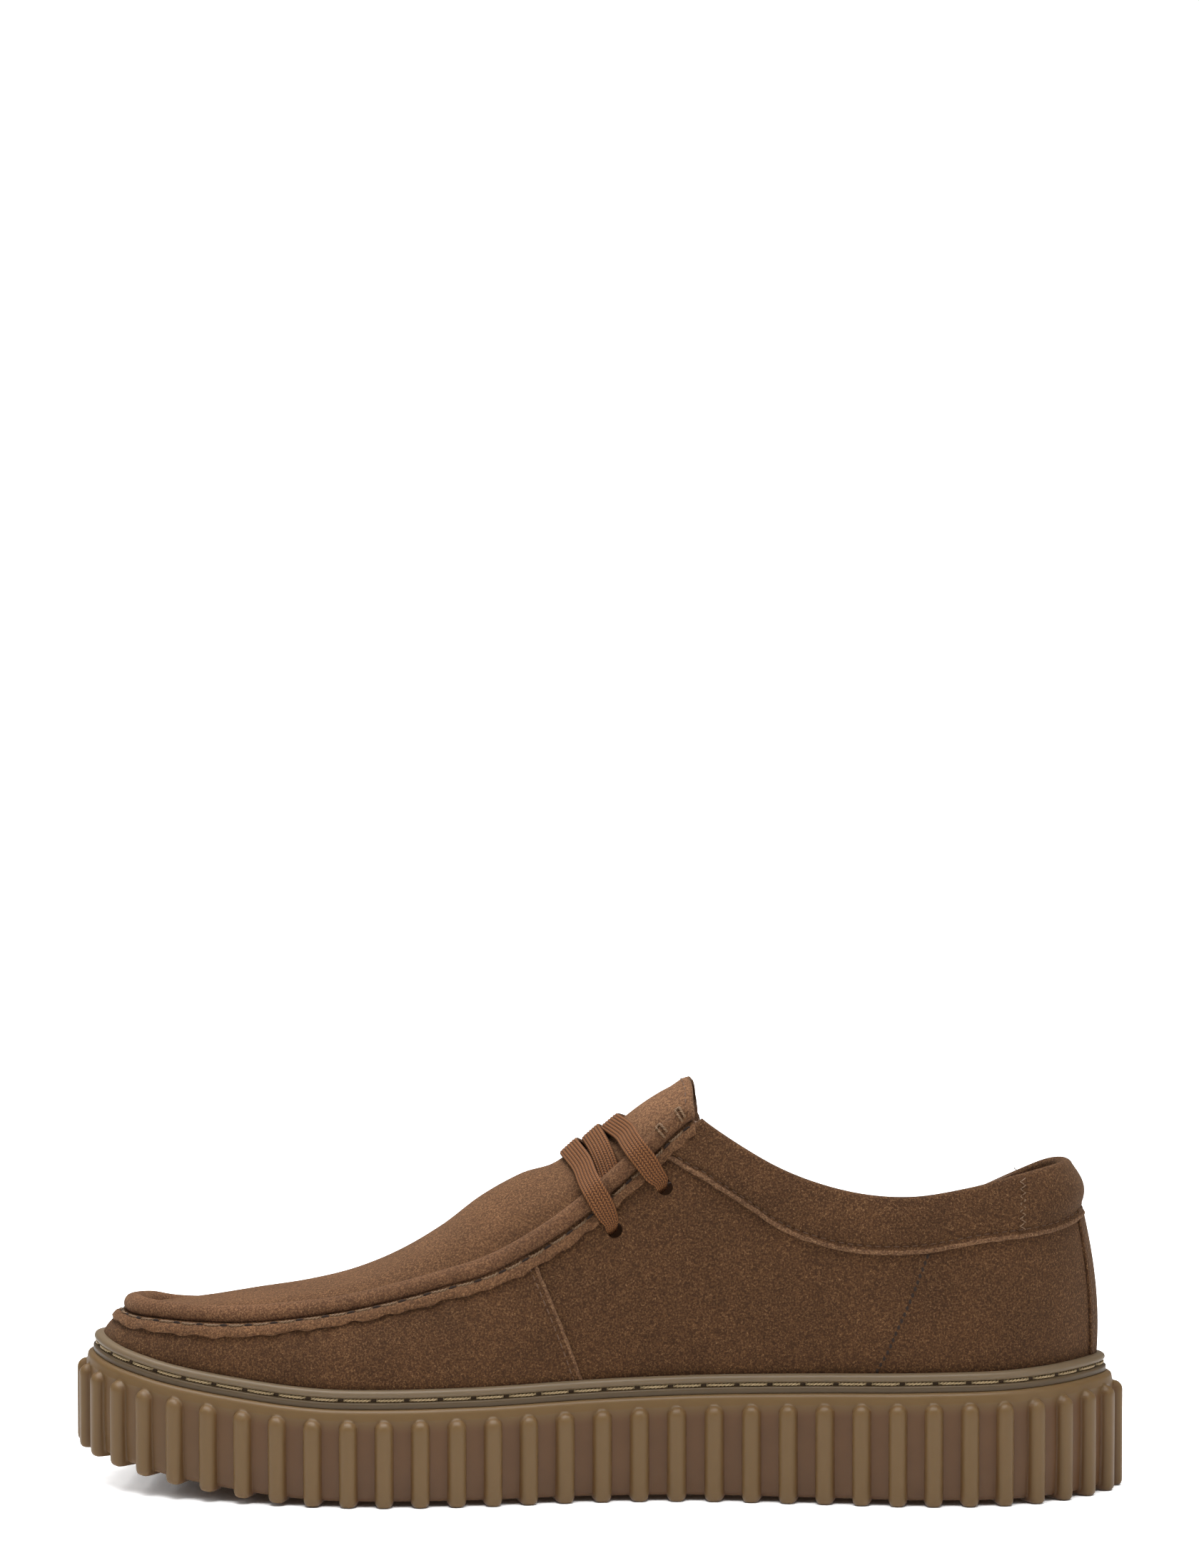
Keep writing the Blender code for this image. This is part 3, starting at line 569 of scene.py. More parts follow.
insole_leather = smooth_leather("insole_leather_smooth", "#7a5c42", "#5f4531")
insole_shares = np.linspace(0, 1, 90)
insole_edge = rim_rings(INSOLE_SECTION, insole_shares)
insole_rim = surface("insole_edge", insole_edge, insole_leather, weld=True)
count = len(insole_edge)
left = insole_edge[: len(insole_shares), -1]
right = insole_edge[[(count - i) % count for i in range(len(insole_shares))], -1]
right[0] = left[0]
insole_top = left[:, None] * (1 - across_shares) + right[:, None] * across_shares
dish = 0.0012 * np.sin(np.pi * across_shares[..., 0])
insole_top[..., 2] -= dish * np.sin(np.pi * np.linspace(0, 1, len(left)))[:, None]
footbed = surface("insole_footbed", insole_top[1:-1], insole_leather)
if footbed.data.polygons[0].normal.z < 0:
    footbed.data.flip_normals()
for piece in (insole_rim, footbed):
    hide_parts("insole")

# The upper's vamp and quarters
# Soft suede, cut in panels and drawn over the last. The vamp goes round the toe and laps over the
# quarters at a slanted seam, and the quarters go on round the heel.

UPPER_WALL = 0.0022
UPPER_INSET = 0.0083
INSTEP_HEIGHT = 0.1092
HEEL_HEIGHT = 0.0935
VAMP_LAP = 0.500
BAND_START = 0.6095
THROAT_TOP = 0.630
LAP_STEP = 0.0009
BAND_STEP = 0.0009
BAND_WIDTH = 0.0160
# The wall's line is a curve, whose handles reach this share of its rise and of its lean inward
HANDLE_UP = 0.35
HANDLE_IN = 0.10
# How steeply the plug leaves the ridge: the power of its curve up to the crown
PLUG_ROUND = 2.1

Ridge = namedtuple("Ridge", "feather along medial_out lateral_out medial_up lateral_up belly")
RIDGE = (
    Ridge(0.00, 0.058, 0.000, 0.000, 0.448, 0.448, 0.12),
    Ridge(0.05, 0.068, 0.088, 0.090, 0.452, 0.439, 0.15),
    Ridge(0.10, 0.088, 0.155, 0.163, 0.456, 0.425, 0.20),
    Ridge(0.15, 0.127, 0.213, 0.230, 0.456, 0.413, 0.22),
    Ridge(0.20, 0.174, 0.250, 0.272, 0.461, 0.418, 0.22),
    Ridge(0.25, 0.220, 0.260, 0.292, 0.473, 0.435, 0.22),
    Ridge(0.30, 0.268, 0.264, 0.301, 0.493, 0.455, 0.22),
    Ridge(0.35, 0.315, 0.259, 0.296, 0.524, 0.487, 0.20),
    Ridge(0.40, 0.359, 0.246, 0.282, 0.560, 0.523, 0.18),
    Ridge(0.45, 0.397, 0.236, 0.268, 0.594, 0.558, 0.15),
    Ridge(0.50, 0.437, 0.220, 0.250, 0.650, 0.616, 0.13),
    Ridge(0.55, 0.488, 0.199, 0.222, 0.744, 0.714, 0.11),
    Ridge(0.60, 0.551, 0.179, 0.195, 0.898, 0.872, 0.095),
    Ridge(0.63, 0.586, 0.171, 0.185, 0.985, 0.961, 0.09),
    Ridge(0.64, 0.596, 0.170, 0.183, 1.000, 0.976, 0.09),
)
Crown = namedtuple("Crown", "feather along up")
CROWN = [
    Crown(*row) for row in (
        (0.00, 0.068, 0.448), (0.05, 0.086, 0.447), (0.10, 0.107, 0.455), (0.15, 0.136, 0.467),
        (0.20, 0.176, 0.486), (0.25, 0.220, 0.505), (0.30, 0.266, 0.537), (0.35, 0.311, 0.589),
        (0.40, 0.354, 0.660), (0.45, 0.391, 0.738), (0.50, 0.428, 0.796), (0.55, 0.472, 0.846),
        (0.575, 0.503, 0.923), (0.60, 0.540, 1.006), (0.63, 0.576, 1.062), (0.64, 0.585, 1.068),
    )
]
Collar = namedtuple("Collar", "feather along medial_out lateral_out medial_up lateral_up belly")
COLLAR = (
    Collar(0.632, 0.601, 0.171, 0.183, 1.145, 1.090, 0.090),
    Collar(0.660, 0.630, 0.190, 0.204, 1.082, 0.997, 0.085),
    Collar(0.700, 0.676, 0.213, 0.231, 1.000, 0.910, 0.080),
    Collar(0.750, 0.738, 0.239, 0.250, 0.937, 0.848, 0.075),
    Collar(0.800, 0.795, 0.244, 0.250, 0.921, 0.838, 0.075),
    Collar(0.850, 0.849, 0.227, 0.231, 0.946, 0.876, 0.078),
    Collar(0.900, 0.894, 0.181, 0.185, 0.981, 0.939, 0.080),
    Collar(0.950, 0.927, 0.105, 0.109, 1.001, 0.990, 0.080),
    Collar(1.000, 0.940, 0.000, 0.000, 1.000, 1.000, 0.080),
)


def ridge_point(side, share, front):
    """The last's top edge at a share: under the rolled seam in front, or the collar behind."""
    table, height = (RIDGE, INSTEP_HEIGHT) if front else (COLLAR, HEEL_HEIGHT)
    name = "medial" if side < 0 else "lateral"
    along = read(table, "feather", "along", share)
    out = read(table, "feather", name + "_out", share)
    up = read(table, "feather", name + "_up", share)
    belly = read(table, "feather", "belly", share)
    return np.array(((along - 0.5) * LENGTH, (AXIS + side * out) * BALL_WIDTH, up * height)), belly


def crown_point(share):
    along = read(CROWN, "feather", "along", share)
    up = read(CROWN, "feather", "up", share)
    return np.array(((along - 0.5) * LENGTH, AXIS * BALL_WIDTH, up * INSTEP_HEIGHT))


def is_front(share):
    return share < THROAT_TOP + 0.0005


def wall_line(side, share, front=None, samples=60):
    """The last's side wall at a share, as points from the welt's top up to its top edge."""
    front = is_front(share) if front is None else front
    top, belly = ridge_point(side, share, front)
    foot_xy = rim(side, share, UPPER_INSET + UPPER_WALL)
    inner_xy = rim(side, share, UPPER_INSET + UPPER_WALL + 0.001)
    inward = np.array((*(inner_xy - foot_xy), 0)) / 0.001
    foot = np.array((*foot_xy, welt_top(foot_xy[0])))
    up = np.array((0, 0, top[2] - foot[2]))
    lean = np.array((*(top - foot)[:2], 0))
    across = inward * (lean @ inward)
    sweep = lean - across
    bulge = inward * belly * up[2]
    low = foot + (sweep + up) * HANDLE_UP + across * HANDLE_IN - bulge / 2
    high = top - (sweep + up) * HANDLE_UP - across * HANDLE_IN - bulge
    t = np.linspace(0, 1, samples)[:, None]
    return (1 - t) ** 3 * foot + 3 * t * (1 - t) ** 2 * low + 3 * t * t * (1 - t) * high + t**3 * top


def plug_line(side, share, samples=40):
    """The last's top from the ridge in to the crown."""
    top, _ = ridge_point(side, share, True)
    crown = crown_point(share)
    t = np.linspace(0, 1, samples)[:, None]
    line = top + (crown - top) * t
    line[:, 2] = top[2] + (crown[2] - top[2]) * (1 - (1 - t[:, 0]) ** PLUG_ROUND)
    return line


def walk(line, distances):
    """The points at these distances along a line."""
    return along_path(line, arc_run(line), distances)


def wall_and_height(side, share, front=None):
    wall = wall_line(side, share, front)
    return wall, arc_run(wall)[-1]


def over_ridge(side, share):
    """The last from the welt up over the ridge to the crown, and the length of its wall."""
    wall, height = wall_and_height(side, share, True)
    return np.concatenate([wall[:-1], plug_line(side, share)]), height


def lofted(columns, lifts):
    """Points over the last. Columns holds its points, and lifts how far over it each one stands."""
    base = np.array(columns)
    normals = np.cross(np.gradient(base, axis=0), np.gradient(base, axis=1))
    normals /= np.maximum(np.linalg.norm(normals, axis=2), 1e-12)[:, :, None]
    core = base * (1, 0, 0) + (0, AXIS * BALL_WIDTH, 0.035)
    normals *= np.sign((normals * (base - core)).sum())
    return base + normals * np.asarray(lifts)[..., None], normals


def wall_panel(places, drops, rows, lift):
    """A panel from behind the welt up the wall, to this far under its top edge, and its normals."""
    columns = []
    for (side, share), drop in zip(places, np.broadcast_to(drops, len(places))):
        wall, height = wall_and_height(side, share)
        points = walk(wall, (height - drop) * np.linspace(0, 1, rows))
        columns.append(np.concatenate([points[:1] - (0, 0, FOOT_TUCK), points]))
    return lofted(columns, lift)


def suede(name, colour, dark, light, nap_mm=0.8):
    """Napped suede: short curly fibres lie over a darker base, with a dull sheen at the edges.

    The fibres are where a noise passes its middle value, which draws thin curled lines.
    """
    material, tree, shader = new_material(name, colour, 0.92)
    shader.inputs["Sheen Weight"].default_value = 0.12
    shader.inputs["Sheen Roughness"].default_value = 0.5
    shader.inputs["Sheen Tint"].default_value = linear("#c0a080")
    shader.inputs["Specular IOR Level"].default_value = 0.15
    nap = noise(tree, nap_mm / 1.4, 2.0, Roughness=0.6)
    curl = noise(tree, nap_mm, 2.0, Distortion=1.6)
    near_line = maths(tree, "ABSOLUTE", maths(tree, "SUBTRACT", curl, 0.5))
    fibres = maths(tree, "MULTIPLY", rescale(tree, near_line, 0.028, 0.0), rescale(tree, nap, 0.46, 0.60))
    base = blend(tree, rescale(tree, nap, 0.36, 0.62), dark, colour)
    cloud_mm = 22
    brushed = rescale(tree, noise(tree, cloud_mm, 4.0, Roughness=0.6), 0.3, 0.7, 0.82, 1.12)
    napped = blend(tree, fibres, base, light)
    toned = node(tree, "ShaderNodeHueSaturation", Color=napped, Value=brushed).outputs["Color"]
    paint(tree, shader, toned, maths(tree, "ADD", nap, fibres), 0.5, 0.00035)
    return material


suede_panel = suede("suede_napped", "#4e341f", "#342113", "#94704d")
FOOT_TUCK = 0.0040
VAMP_TUCK = 0.0035
FLAP_TUCK = 0.0010
COLLAR_TUCK = 0.006
VAMP_ROWS = 30

vamp_places = toe_around(np.concatenate([np.linspace(0, 0.1, 26), np.linspace(0.1, VAMP_LAP, 62)[1:]]))
vamp_points, _ = wall_panel(vamp_places, VAMP_TUCK, VAMP_ROWS, UPPER_WALL + LAP_STEP)
vamp = surface("vamp", vamp_points, suede_panel, thickness=0.0013, bevel=0.0003)

front_shares = np.linspace(VAMP_LAP - 0.012, THROAT_TOP, 46)
back_shares = np.linspace(0.632, 1.0, 90)
quarter_places = ring_around(np.concatenate([front_shares, back_shares]))
quarter_tucks = [FLAP_TUCK if is_front(share) else COLLAR_TUCK for _, share in quarter_places]
quarter_points, _ = wall_panel(quarter_places, quarter_tucks, VAMP_ROWS + 6, UPPER_WALL)
quarters = surface("quarters", quarter_points, suede_panel, thickness=0.0014, bevel=0.0003)

# The punched eyelets
# Two plain holes a side through the quarter's flap and its lining, cut with a round punch.

EYELET_WIDTH = 0.0046
Eyelet = namedtuple("Eyelet", "feather down")
EYELETS = (Eyelet(0.566, 0.0112), Eyelet(0.605, 0.0125))


def wall_place(side, share, down):
    """A point on the last's wall this far down from the ridge, and its outward normal."""
    nudge = 0.002
    wall, height = wall_and_height(side, share)
    low, point, high = walk(wall, [height - down - nudge, height - down, height - down + nudge])
    beside_wall, beside_height = wall_and_height(side, share + nudge, is_front(share))
    (beside,) = walk(beside_wall, [beside_height - down])
    normal = unit(np.cross(high - low, beside - point))
    return point, normal * (1 if normal[1] * side > 0 else -1)


def punch_holes(piece):
    """Cut the four eyelets through a panel and keep the cut mesh."""
    cutters = []
    for side in (-1, 1):
        for eyelet in EYELETS:
            point, normal = wall_place(side, eyelet.feather, eyelet.down)
            punch = bmesh.new()
            radius = EYELET_WIDTH / 2
            size = {"segments": 28, "radius1": radius, "radius2": radius, "depth": 0.014}
            bmesh.ops.create_cone(punch, cap_ends=True, **size)
            cutter = bpy.data.objects.new("punch", mesh_of("punch", punch))
            cutter.matrix_world = Vector(normal).to_track_quat("Z", "Y").to_matrix().to_4x4()
            cutter.location = point
            bpy.context.scene.collection.objects.link(cutter)
            cut = piece.modifiers.new("eyelet", "BOOLEAN")
            cut.operation = "DIFFERENCE"
            cut.object = cutter
            cutters.append(cutter)
    bpy.context.view_layer.update()
    evaluated = piece.evaluated_get(bpy.context.evaluated_depsgraph_get())
    mesh = bpy.data.meshes.new_from_object(evaluated)
    piece.modifiers.clear()
    piece.data = mesh
    for cutter in cutters:
        bpy.data.objects.remove(cutter)


punch_holes(quarters)

# The lining
# Thin brown leather inside the quarters, round the heel and under the vamp.

LINING_TUCK = 0.0008
LINING_ROWS = 24
LINING_GAP = 0.0002

lining_leather = smooth_leather("lining_leather_smooth", "#6d4f38", "#573d2a")
lining_points, _ = wall_panel(quarter_places, LINING_TUCK, LINING_ROWS, LINING_GAP)
lining = surface("quarter_lining", lining_points, lining_leather, thickness=-0.0005)
punch_holes(lining)
vamp_lining_points, _ = wall_panel(vamp_places, LINING_TUCK, LINING_ROWS, LINING_GAP)
vamp_lining = surface("vamp_lining", vamp_lining_points, lining_leather, thickness=-0.0005)

# The plug
# The raised top panel of a moccasin: suede set in inside the rolled seam, from the toe up to the
# throat, and a little lower than the roll beside it.

PLUG_HALF = 18
PLUG_SINK = 0.0021


def plug_row(share):
    """A row across the plug from the lateral to the medial side."""
    halves = []
    for side in (1, -1):
        line = plug_line(side, share)
        halves.append(walk(line, arc_run(line)[-1] * np.linspace(0, 1, PLUG_HALF)))
    return np.concatenate([halves[0], halves[1][-2::-1]])


plug_shares = np.concatenate([np.linspace(0.003, 0.05, 10), np.linspace(0.05, 0.556, 84)[1:]])
plug_base = np.array([plug_row(share) for share in plug_shares])
_, plug_normals = lofted(plug_base, 0.0)
plug_up = plug_normals * np.sign(plug_normals[:, :, 2].mean())
steady = ease(0.02, 0.12, plug_shares)[:, None, None]
plug_up = unit(plug_up * steady + np.array((0, 0, 1.0)) * (1 - steady))
across_half = np.concatenate([np.linspace(0, 1, PLUG_HALF), np.linspace(1, 0, PLUG_HALF)[1:]])
beside_roll = 1 - ease(0.0, 0.40, across_half)
plug_points = plug_base + plug_up * (UPPER_WALL - PLUG_SINK * beside_roll)[:, None]
suede_plug = suede("suede_brushed", "#63452e", "#442e1e", "#a27a55")
plug = surface("plug", plug_points, suede_plug, thickness=0.0014, bevel=0.0003)

# The rolled seam
# The plug's edge is gathered and rolled over the vamp's, so a fat soft roll stands all round the
# top. Below it the raw edge of the fold lies on the vamp as a narrow, slightly wavy flange.

ROLL_RADIUS = 0.0030
ROLL_CENTRE = 0.0021
SIDE_SLIMMING = 0.10
SIDE_SINK = 0.0004
THROAT_SLIMMING = 0.08
PUCKER_PITCH = 0.0074
FLANGE_WIDTH = 0.0038

ROLL_END = 0.6365
roll_shares = np.concatenate([np.linspace(0, 0.1, 90), np.linspace(0.1, ROLL_END, 330)[1:]])
roll_places = toe_around(roll_shares)


def evened(vectors, kernel):
    """Vectors along a line, each averaged with its neighbours by the kernel's weights."""
    reach = len(kernel) // 2
    padded = np.pad(vectors, ((reach, reach), (0, 0)), mode="edge")
    return np.stack([np.convolve(padded[:, axis], kernel, mode="valid") for axis in range(3)], axis=1)


def square_to(vectors, ways):
    """The vectors made square to the ways, at unit length."""
    return unit(vectors - ways * (vectors * ways).sum(axis=1)[:, None])


def ridge_frame():
    """The ridge's points, and at each the ways inward over the plug and out of the surface."""
    points = np.array([ridge_point(side, share, True)[0] for side, share in roll_places])
    inward = []
    for side, share in roll_places:
        (below,) = walk(wall_line(side, share, True)[::-1], [0.004])
        (inside,) = walk(plug_line(side, share), [0.004])
        inward.append(inside - below)
    tangent = unit(np.gradient(points, axis=0))
    inward = square_to(evened(np.array(inward), np.ones(9) / 9), tangent)
    outward = np.cross(tangent, inward)
    outward *= np.sign(outward[:, 2].sum())
    return points, inward, outward


ridge, ridge_in, ridge_out = ridge_frame()
ridge_run = arc_run(ridge)
roll_share = np.array([share for _, share in roll_places])


def wander(run, seed, pitch):
    """A smooth uneven wave along a length, between about -1 and 1."""
    phase = 2 * np.pi * run / pitch
    waves = ((0.5, 1.0, 1.0), (0.3, 0.61, 2.1), (0.2, 1.73, 0.7))
    return sum(height * np.sin(pace * phase + shift * seed) for height, pace, shift in waves)


def make_roll():
    angles = np.linspace(0, 2 * np.pi, 37)
    slim = ease(0.05, 0.12, roll_share)
    taper = 1 - SIDE_SLIMMING * slim - THROAT_SLIMMING * ease(0.585, ROLL_END, roll_share)
    end = np.minimum(ridge_run, ridge_run[-1] - ridge_run)
    taper = taper * np.sqrt(1 - (1 - np.clip(end / 0.0009, 0, 1)) ** 2 * 0.95)
    pucker = 0.5 + 0.5 * np.cos(2 * np.pi * ridge_run / PUCKER_PITCH)
    plump = 1 + 0.025 * wander(ridge_run, 1.0, 0.031)
    lower_side = np.clip(-np.cos(angles), 0, 1) * np.clip(0.35 - np.sin(angles), 0, 1)
    rings = []
    for i in range(len(ridge)):
        radius = ROLL_RADIUS * taper[i] * plump[i] * (1 - 0.10 * pucker[i] * lower_side)
        centre = ridge[i] + ridge_out[i] * (ROLL_CENTRE - SIDE_SINK * slim[i])
        across = np.outer(radius * np.cos(angles), ridge_in[i])
        rings.append(centre + across + np.outer(radius * np.sin(angles), ridge_out[i]))
    return np.array(rings)


suede_edge = suede("suede_raw_edge", "#6a4d36", "#483223", "#a88461")
suede_roll = suede("suede_rolled", "#674831", "#483122", "#a37c59")
roll = surface("rolled_seam", make_roll(), suede_roll, weld=True)
roll_centre = ridge + ridge_out * ROLL_CENTRE


def flange_grid():
    """The flange's face: from under the roll, over the vamp, to its raw edge."""
    steps = (-0.0022, -0.0029, -0.0035, -0.0042, -0.0052, -0.0060)
    lifts = (0.0024, 0.0026, 0.0033, 0.0040, 0.0043, 0.0042)
    rows = []
    for (side, share), run in zip(roll_places, ridge_run):
        wall, height = wall_and_height(side, share, True)
        edge = -(ROLL_RADIUS + FLANGE_WIDTH) + 0.00045 * wander(run, 3.0, 0.0086)
        rows.append(walk(wall, height + np.array([*steps, edge])))
    gathers = 0.0003 * wander(ridge_run, 5.0, 0.0091)
    gathers += 0.0002 * np.cos(2 * np.pi * ridge_run / PUCKER_PITCH)
    curl = gathers[:, None] * np.array([0, 0, 0.2, 0.5, 0.9, 1.0, 1.2])
    lift = np.array([*lifts, 0.0040])[None, :] + curl
    behind_lap = ease(VAMP_LAP - 0.004, VAMP_LAP + 0.004, roll_share)[:, None] * 0.0006
    return lofted(rows, lift - behind_lap)


flange_points, flange_normals = flange_grid()
flange = surface("rolled_seam_flange", flange_points, suede_plug, thickness=0.0012, bevel=0.0003)

# The rolled seam's stitching
# Two-ply brown thread sits in the groove under the roll. It shows for most of each stitch and goes in
# through a small slit that pulls the roll down; each slit is a dark bead of painted shadow.

ROLL_STITCH = 0.0048

groove_out = unit(flange_normals[:, 2] * 0.8 - ridge_in * 0.6)
groove_path = flange_points[:, 2] + groove_out * 0.0002
brown_thread = thread_material("seam_thread_waxed", "#755a3c", "#4a3522", 0.6)
seam = (groove_path, groove_out, PUCKER_PITCH, ROLL_STITCH)
stitches("rolled_seam_stitching", *seam, SEAM_THREAD, brown_thread, dive=0.0009)
needle_holes("rolled_seam_slits", *seam, 0.00062, slit_shade, 2.0)

# The collar band
# A strip of suede folded over a soft pad round the collar, from the throat to the heel and back.
# Its lower edge is raw, with a line of stitching just above it.

BAND_FOOT_ROWS = np.array((0.0, 0.0006, 0.0011, 0.0015, 0.0019, 0.0024, 0.0031))
BAND_FOOT_LIFTS = np.array((0.0, 0.0, -0.0002, -0.0006, -0.0006, -0.0001, 0.0001))
BAND_ROWS = 14
FLAP_DROP = 0.0045
COLLAR_DROP = 0.0015

# (x, z) along the band's raw edge on the medial side. The lateral side has the same widths
BAND_FOOT = (
    (0.010, 0.1028), (0.0210, 0.0966), (0.0340, 0.0892), (0.0440, 0.0832), (0.0520, 0.0780),
    (0.0670, 0.0727), (0.0900, 0.0710), (0.1086, 0.0738), (0.1320, 0.0767), (0.1394, 0.0790),
    (0.1460, 0.0800),
)


def band_reach(side, share):
    """How far the band's raw edge lies under the last's top edge. In front it meets the flange."""
    wall = wall_line(-1, share)[::-1]
    x, z = np.array(BAND_FOOT).T
    under = smooth(x, z, np.clip(wall[:, 0], x[0], x[-1])) - wall[:, 2]
    return np.interp(0, under, arc_run(wall))


def collar_drop(side, share):
    """How far the pad's round top starts under the last's top edge."""
    return COLLAR_DROP + (0.0007 + side * 0.0008) * (1 - ease(0.82, 0.95, share))


def band_column(side, share):
    wall, height = wall_and_height(side, share)
    foot = height - band_reach(side, share)
    top = height - (FLAP_DROP if is_front(share) else collar_drop(side, share))
    span = max(top - foot, 0.001)
    near = BAND_FOOT_ROWS * min(1, span / 0.006)
    ups = foot + np.concatenate([near, np.linspace(near[-1], span, BAND_ROWS)[1:]])
    return walk(wall, ups)


band_front = np.linspace(BAND_START, THROAT_TOP, 16)
band_shares = np.concatenate([band_front, back_shares])
band_places = ring_around(band_shares)
band_columns = [band_column(*place) for place in band_places]
band_share = np.array([share for _, share in band_places])
collar_weight = ease(THROAT_TOP, 0.65, band_share)
# The pad swells the band, most of all round the heel
plump = (0.0005 + 0.0012 * ease(0.84, 0.95, band_share)) * collar_weight
row_share = np.linspace(0, 1, BAND_ROWS)[1:]
swell = np.concatenate([np.zeros(len(BAND_FOOT_ROWS)), np.sin(np.pi * row_share**0.8)])
foot_lift = np.concatenate([BAND_FOOT_LIFTS, np.zeros(BAND_ROWS - 1)])
band_lift = UPPER_WALL + BAND_STEP + foot_lift[None, :] + swell[None, :] * plump[:, None]
band_outer, band_normals = lofted(band_columns, band_lift)
top_normal = band_normals[:, -1]
top_base = np.array([column[-1] for column in band_columns])
rise = unit(top_base - np.array([column[-3] for column in band_columns]))
pad = UPPER_WALL + BAND_STEP
over = []
for angle in np.linspace(0, np.pi, 10)[1:]:
    reach = pad / 2 * (1 + np.cos(angle)) - 0.0003 * (1 - np.cos(angle)) / 2
    over.append(top_base + top_normal * reach + rise * 0.0015 * np.sin(angle))
inner_rows = [top_base - rise * down - top_normal * 0.0006 for down in (0.003, 0.006, 0.010)]
band_points = np.concatenate([band_outer, np.stack(over, axis=1), np.stack(inner_rows, axis=1)], axis=1)
band = surface("collar_band", band_points, suede_panel, thickness=0.0007, bevel=0.0002)


def raw_edge(name, path, normals, half_width, half_height):
    """The cut edge of a panel: a low, slightly uneven bead of paler fibres along a path."""
    run = arc_run(path)
    side = unit(np.cross(np.gradient(path, axis=0), normals))
    angles = np.linspace(0, 2 * np.pi, 13)
    wide = half_width * (1 + 0.12 * wander(run, 2.0, 0.0043))[:, None, None]
    high = half_height * (1 + 0.12 * wander(run, 4.0, 0.0031))[:, None, None]
    path = path + side * 0.00012 * wander(run, 1.0, 0.0057)[:, None]
    rings = path[:, None] + side[:, None] * np.cos(angles)[None, :, None] * wide
    rings = rings + normals[:, None] * np.sin(angles)[None, :, None] * high
    core = np.broadcast_to(path[:, None], rings.shape)
    return surface(name, rings, suede_edge, weld=True, core=core)


def lofted_line(places, distance_down, lift):
    """A line on the outside, this far down from the top edge at each place, and its normals."""
    base = []
    for side, share in places:
        wall, height = wall_and_height(side, share)
        up = height - distance_down(side, share)
        base.append(walk(wall, [up - 0.001, up, up + 0.001]))
    points, normals = lofted(base, lift)
    return points[:, 1], normals[:, 1]


fine_thread = thread_material("fine_thread", "#6a4c34", "#412c1c", 0.7)


def fine_stitches(name, path, normals, radius, pitch=0.0026, length=0.0018, thread=fine_thread):
    """A line of single stitches, sunk a little in the suede."""
    stitches(name, path, normals, pitch, length, radius, thread, plies=1, dive=0.0004)


edge_path, edge_out = lofted_line(band_places, band_reach, UPPER_WALL + BAND_STEP * 0.6)
raw_edge("collar_band_raw_edge", edge_path, edge_out, 0.0007, 0.0006)
HEM_UP = 0.0017
hem_lift = UPPER_WALL + BAND_STEP - 0.0006
hem_path, hem_out = lofted_line(band_places, lambda *place: band_reach(*place) - HEM_UP, hem_lift)
fine_stitches("collar_band_stitching", hem_path, hem_out, 0.00016)

# The front and rear seams
# Where the vamp laps over the quarter, a line of small stitches runs just inside its raw edge.
# Behind, the counter under the suede is sewn through, and only its needle holes show, as dark beads of
# painted shadow.


def seam_line(side, shares, ups, lift):
    """A line up the outside wall: shares along the shoe, and ups as shares of the wall's height."""
    base = []
    for share, up in zip(shares, ups):
        wall, height = wall_and_height(side, share)
        place = height * up
        points = walk(wall, [place - 0.001, place, place + 0.001])
        (beside,) = walk(wall_line(side, share + 0.003, is_front(share)), [place])
        normal = unit(np.cross(points[2] - points[0], beside - points[1]))
        normal *= 1 if normal[1] * side > 0 else -1
        base.append((points[1] + normal * lift, normal))
    return np.array([point for point, _ in base]), np.array([normal for _, normal in base])


def place_on_wall(side, x, z):
    """The share, and the part of the wall's height, at which the wall passes this place."""
    shares = np.linspace(0.70, 0.93, 60)
    found = []
    for share in shares:
        wall = wall_line(side, share)
        run = arc_run(wall)
        found.append((np.interp(z, wall[:, 2], wall[:, 0]), np.interp(z, wall[:, 2], run) / run[-1]))
    found = np.array(found)
    share = np.interp(x, found[:, 0], shares)
    return share, np.interp(share, shares, found[:, 1])


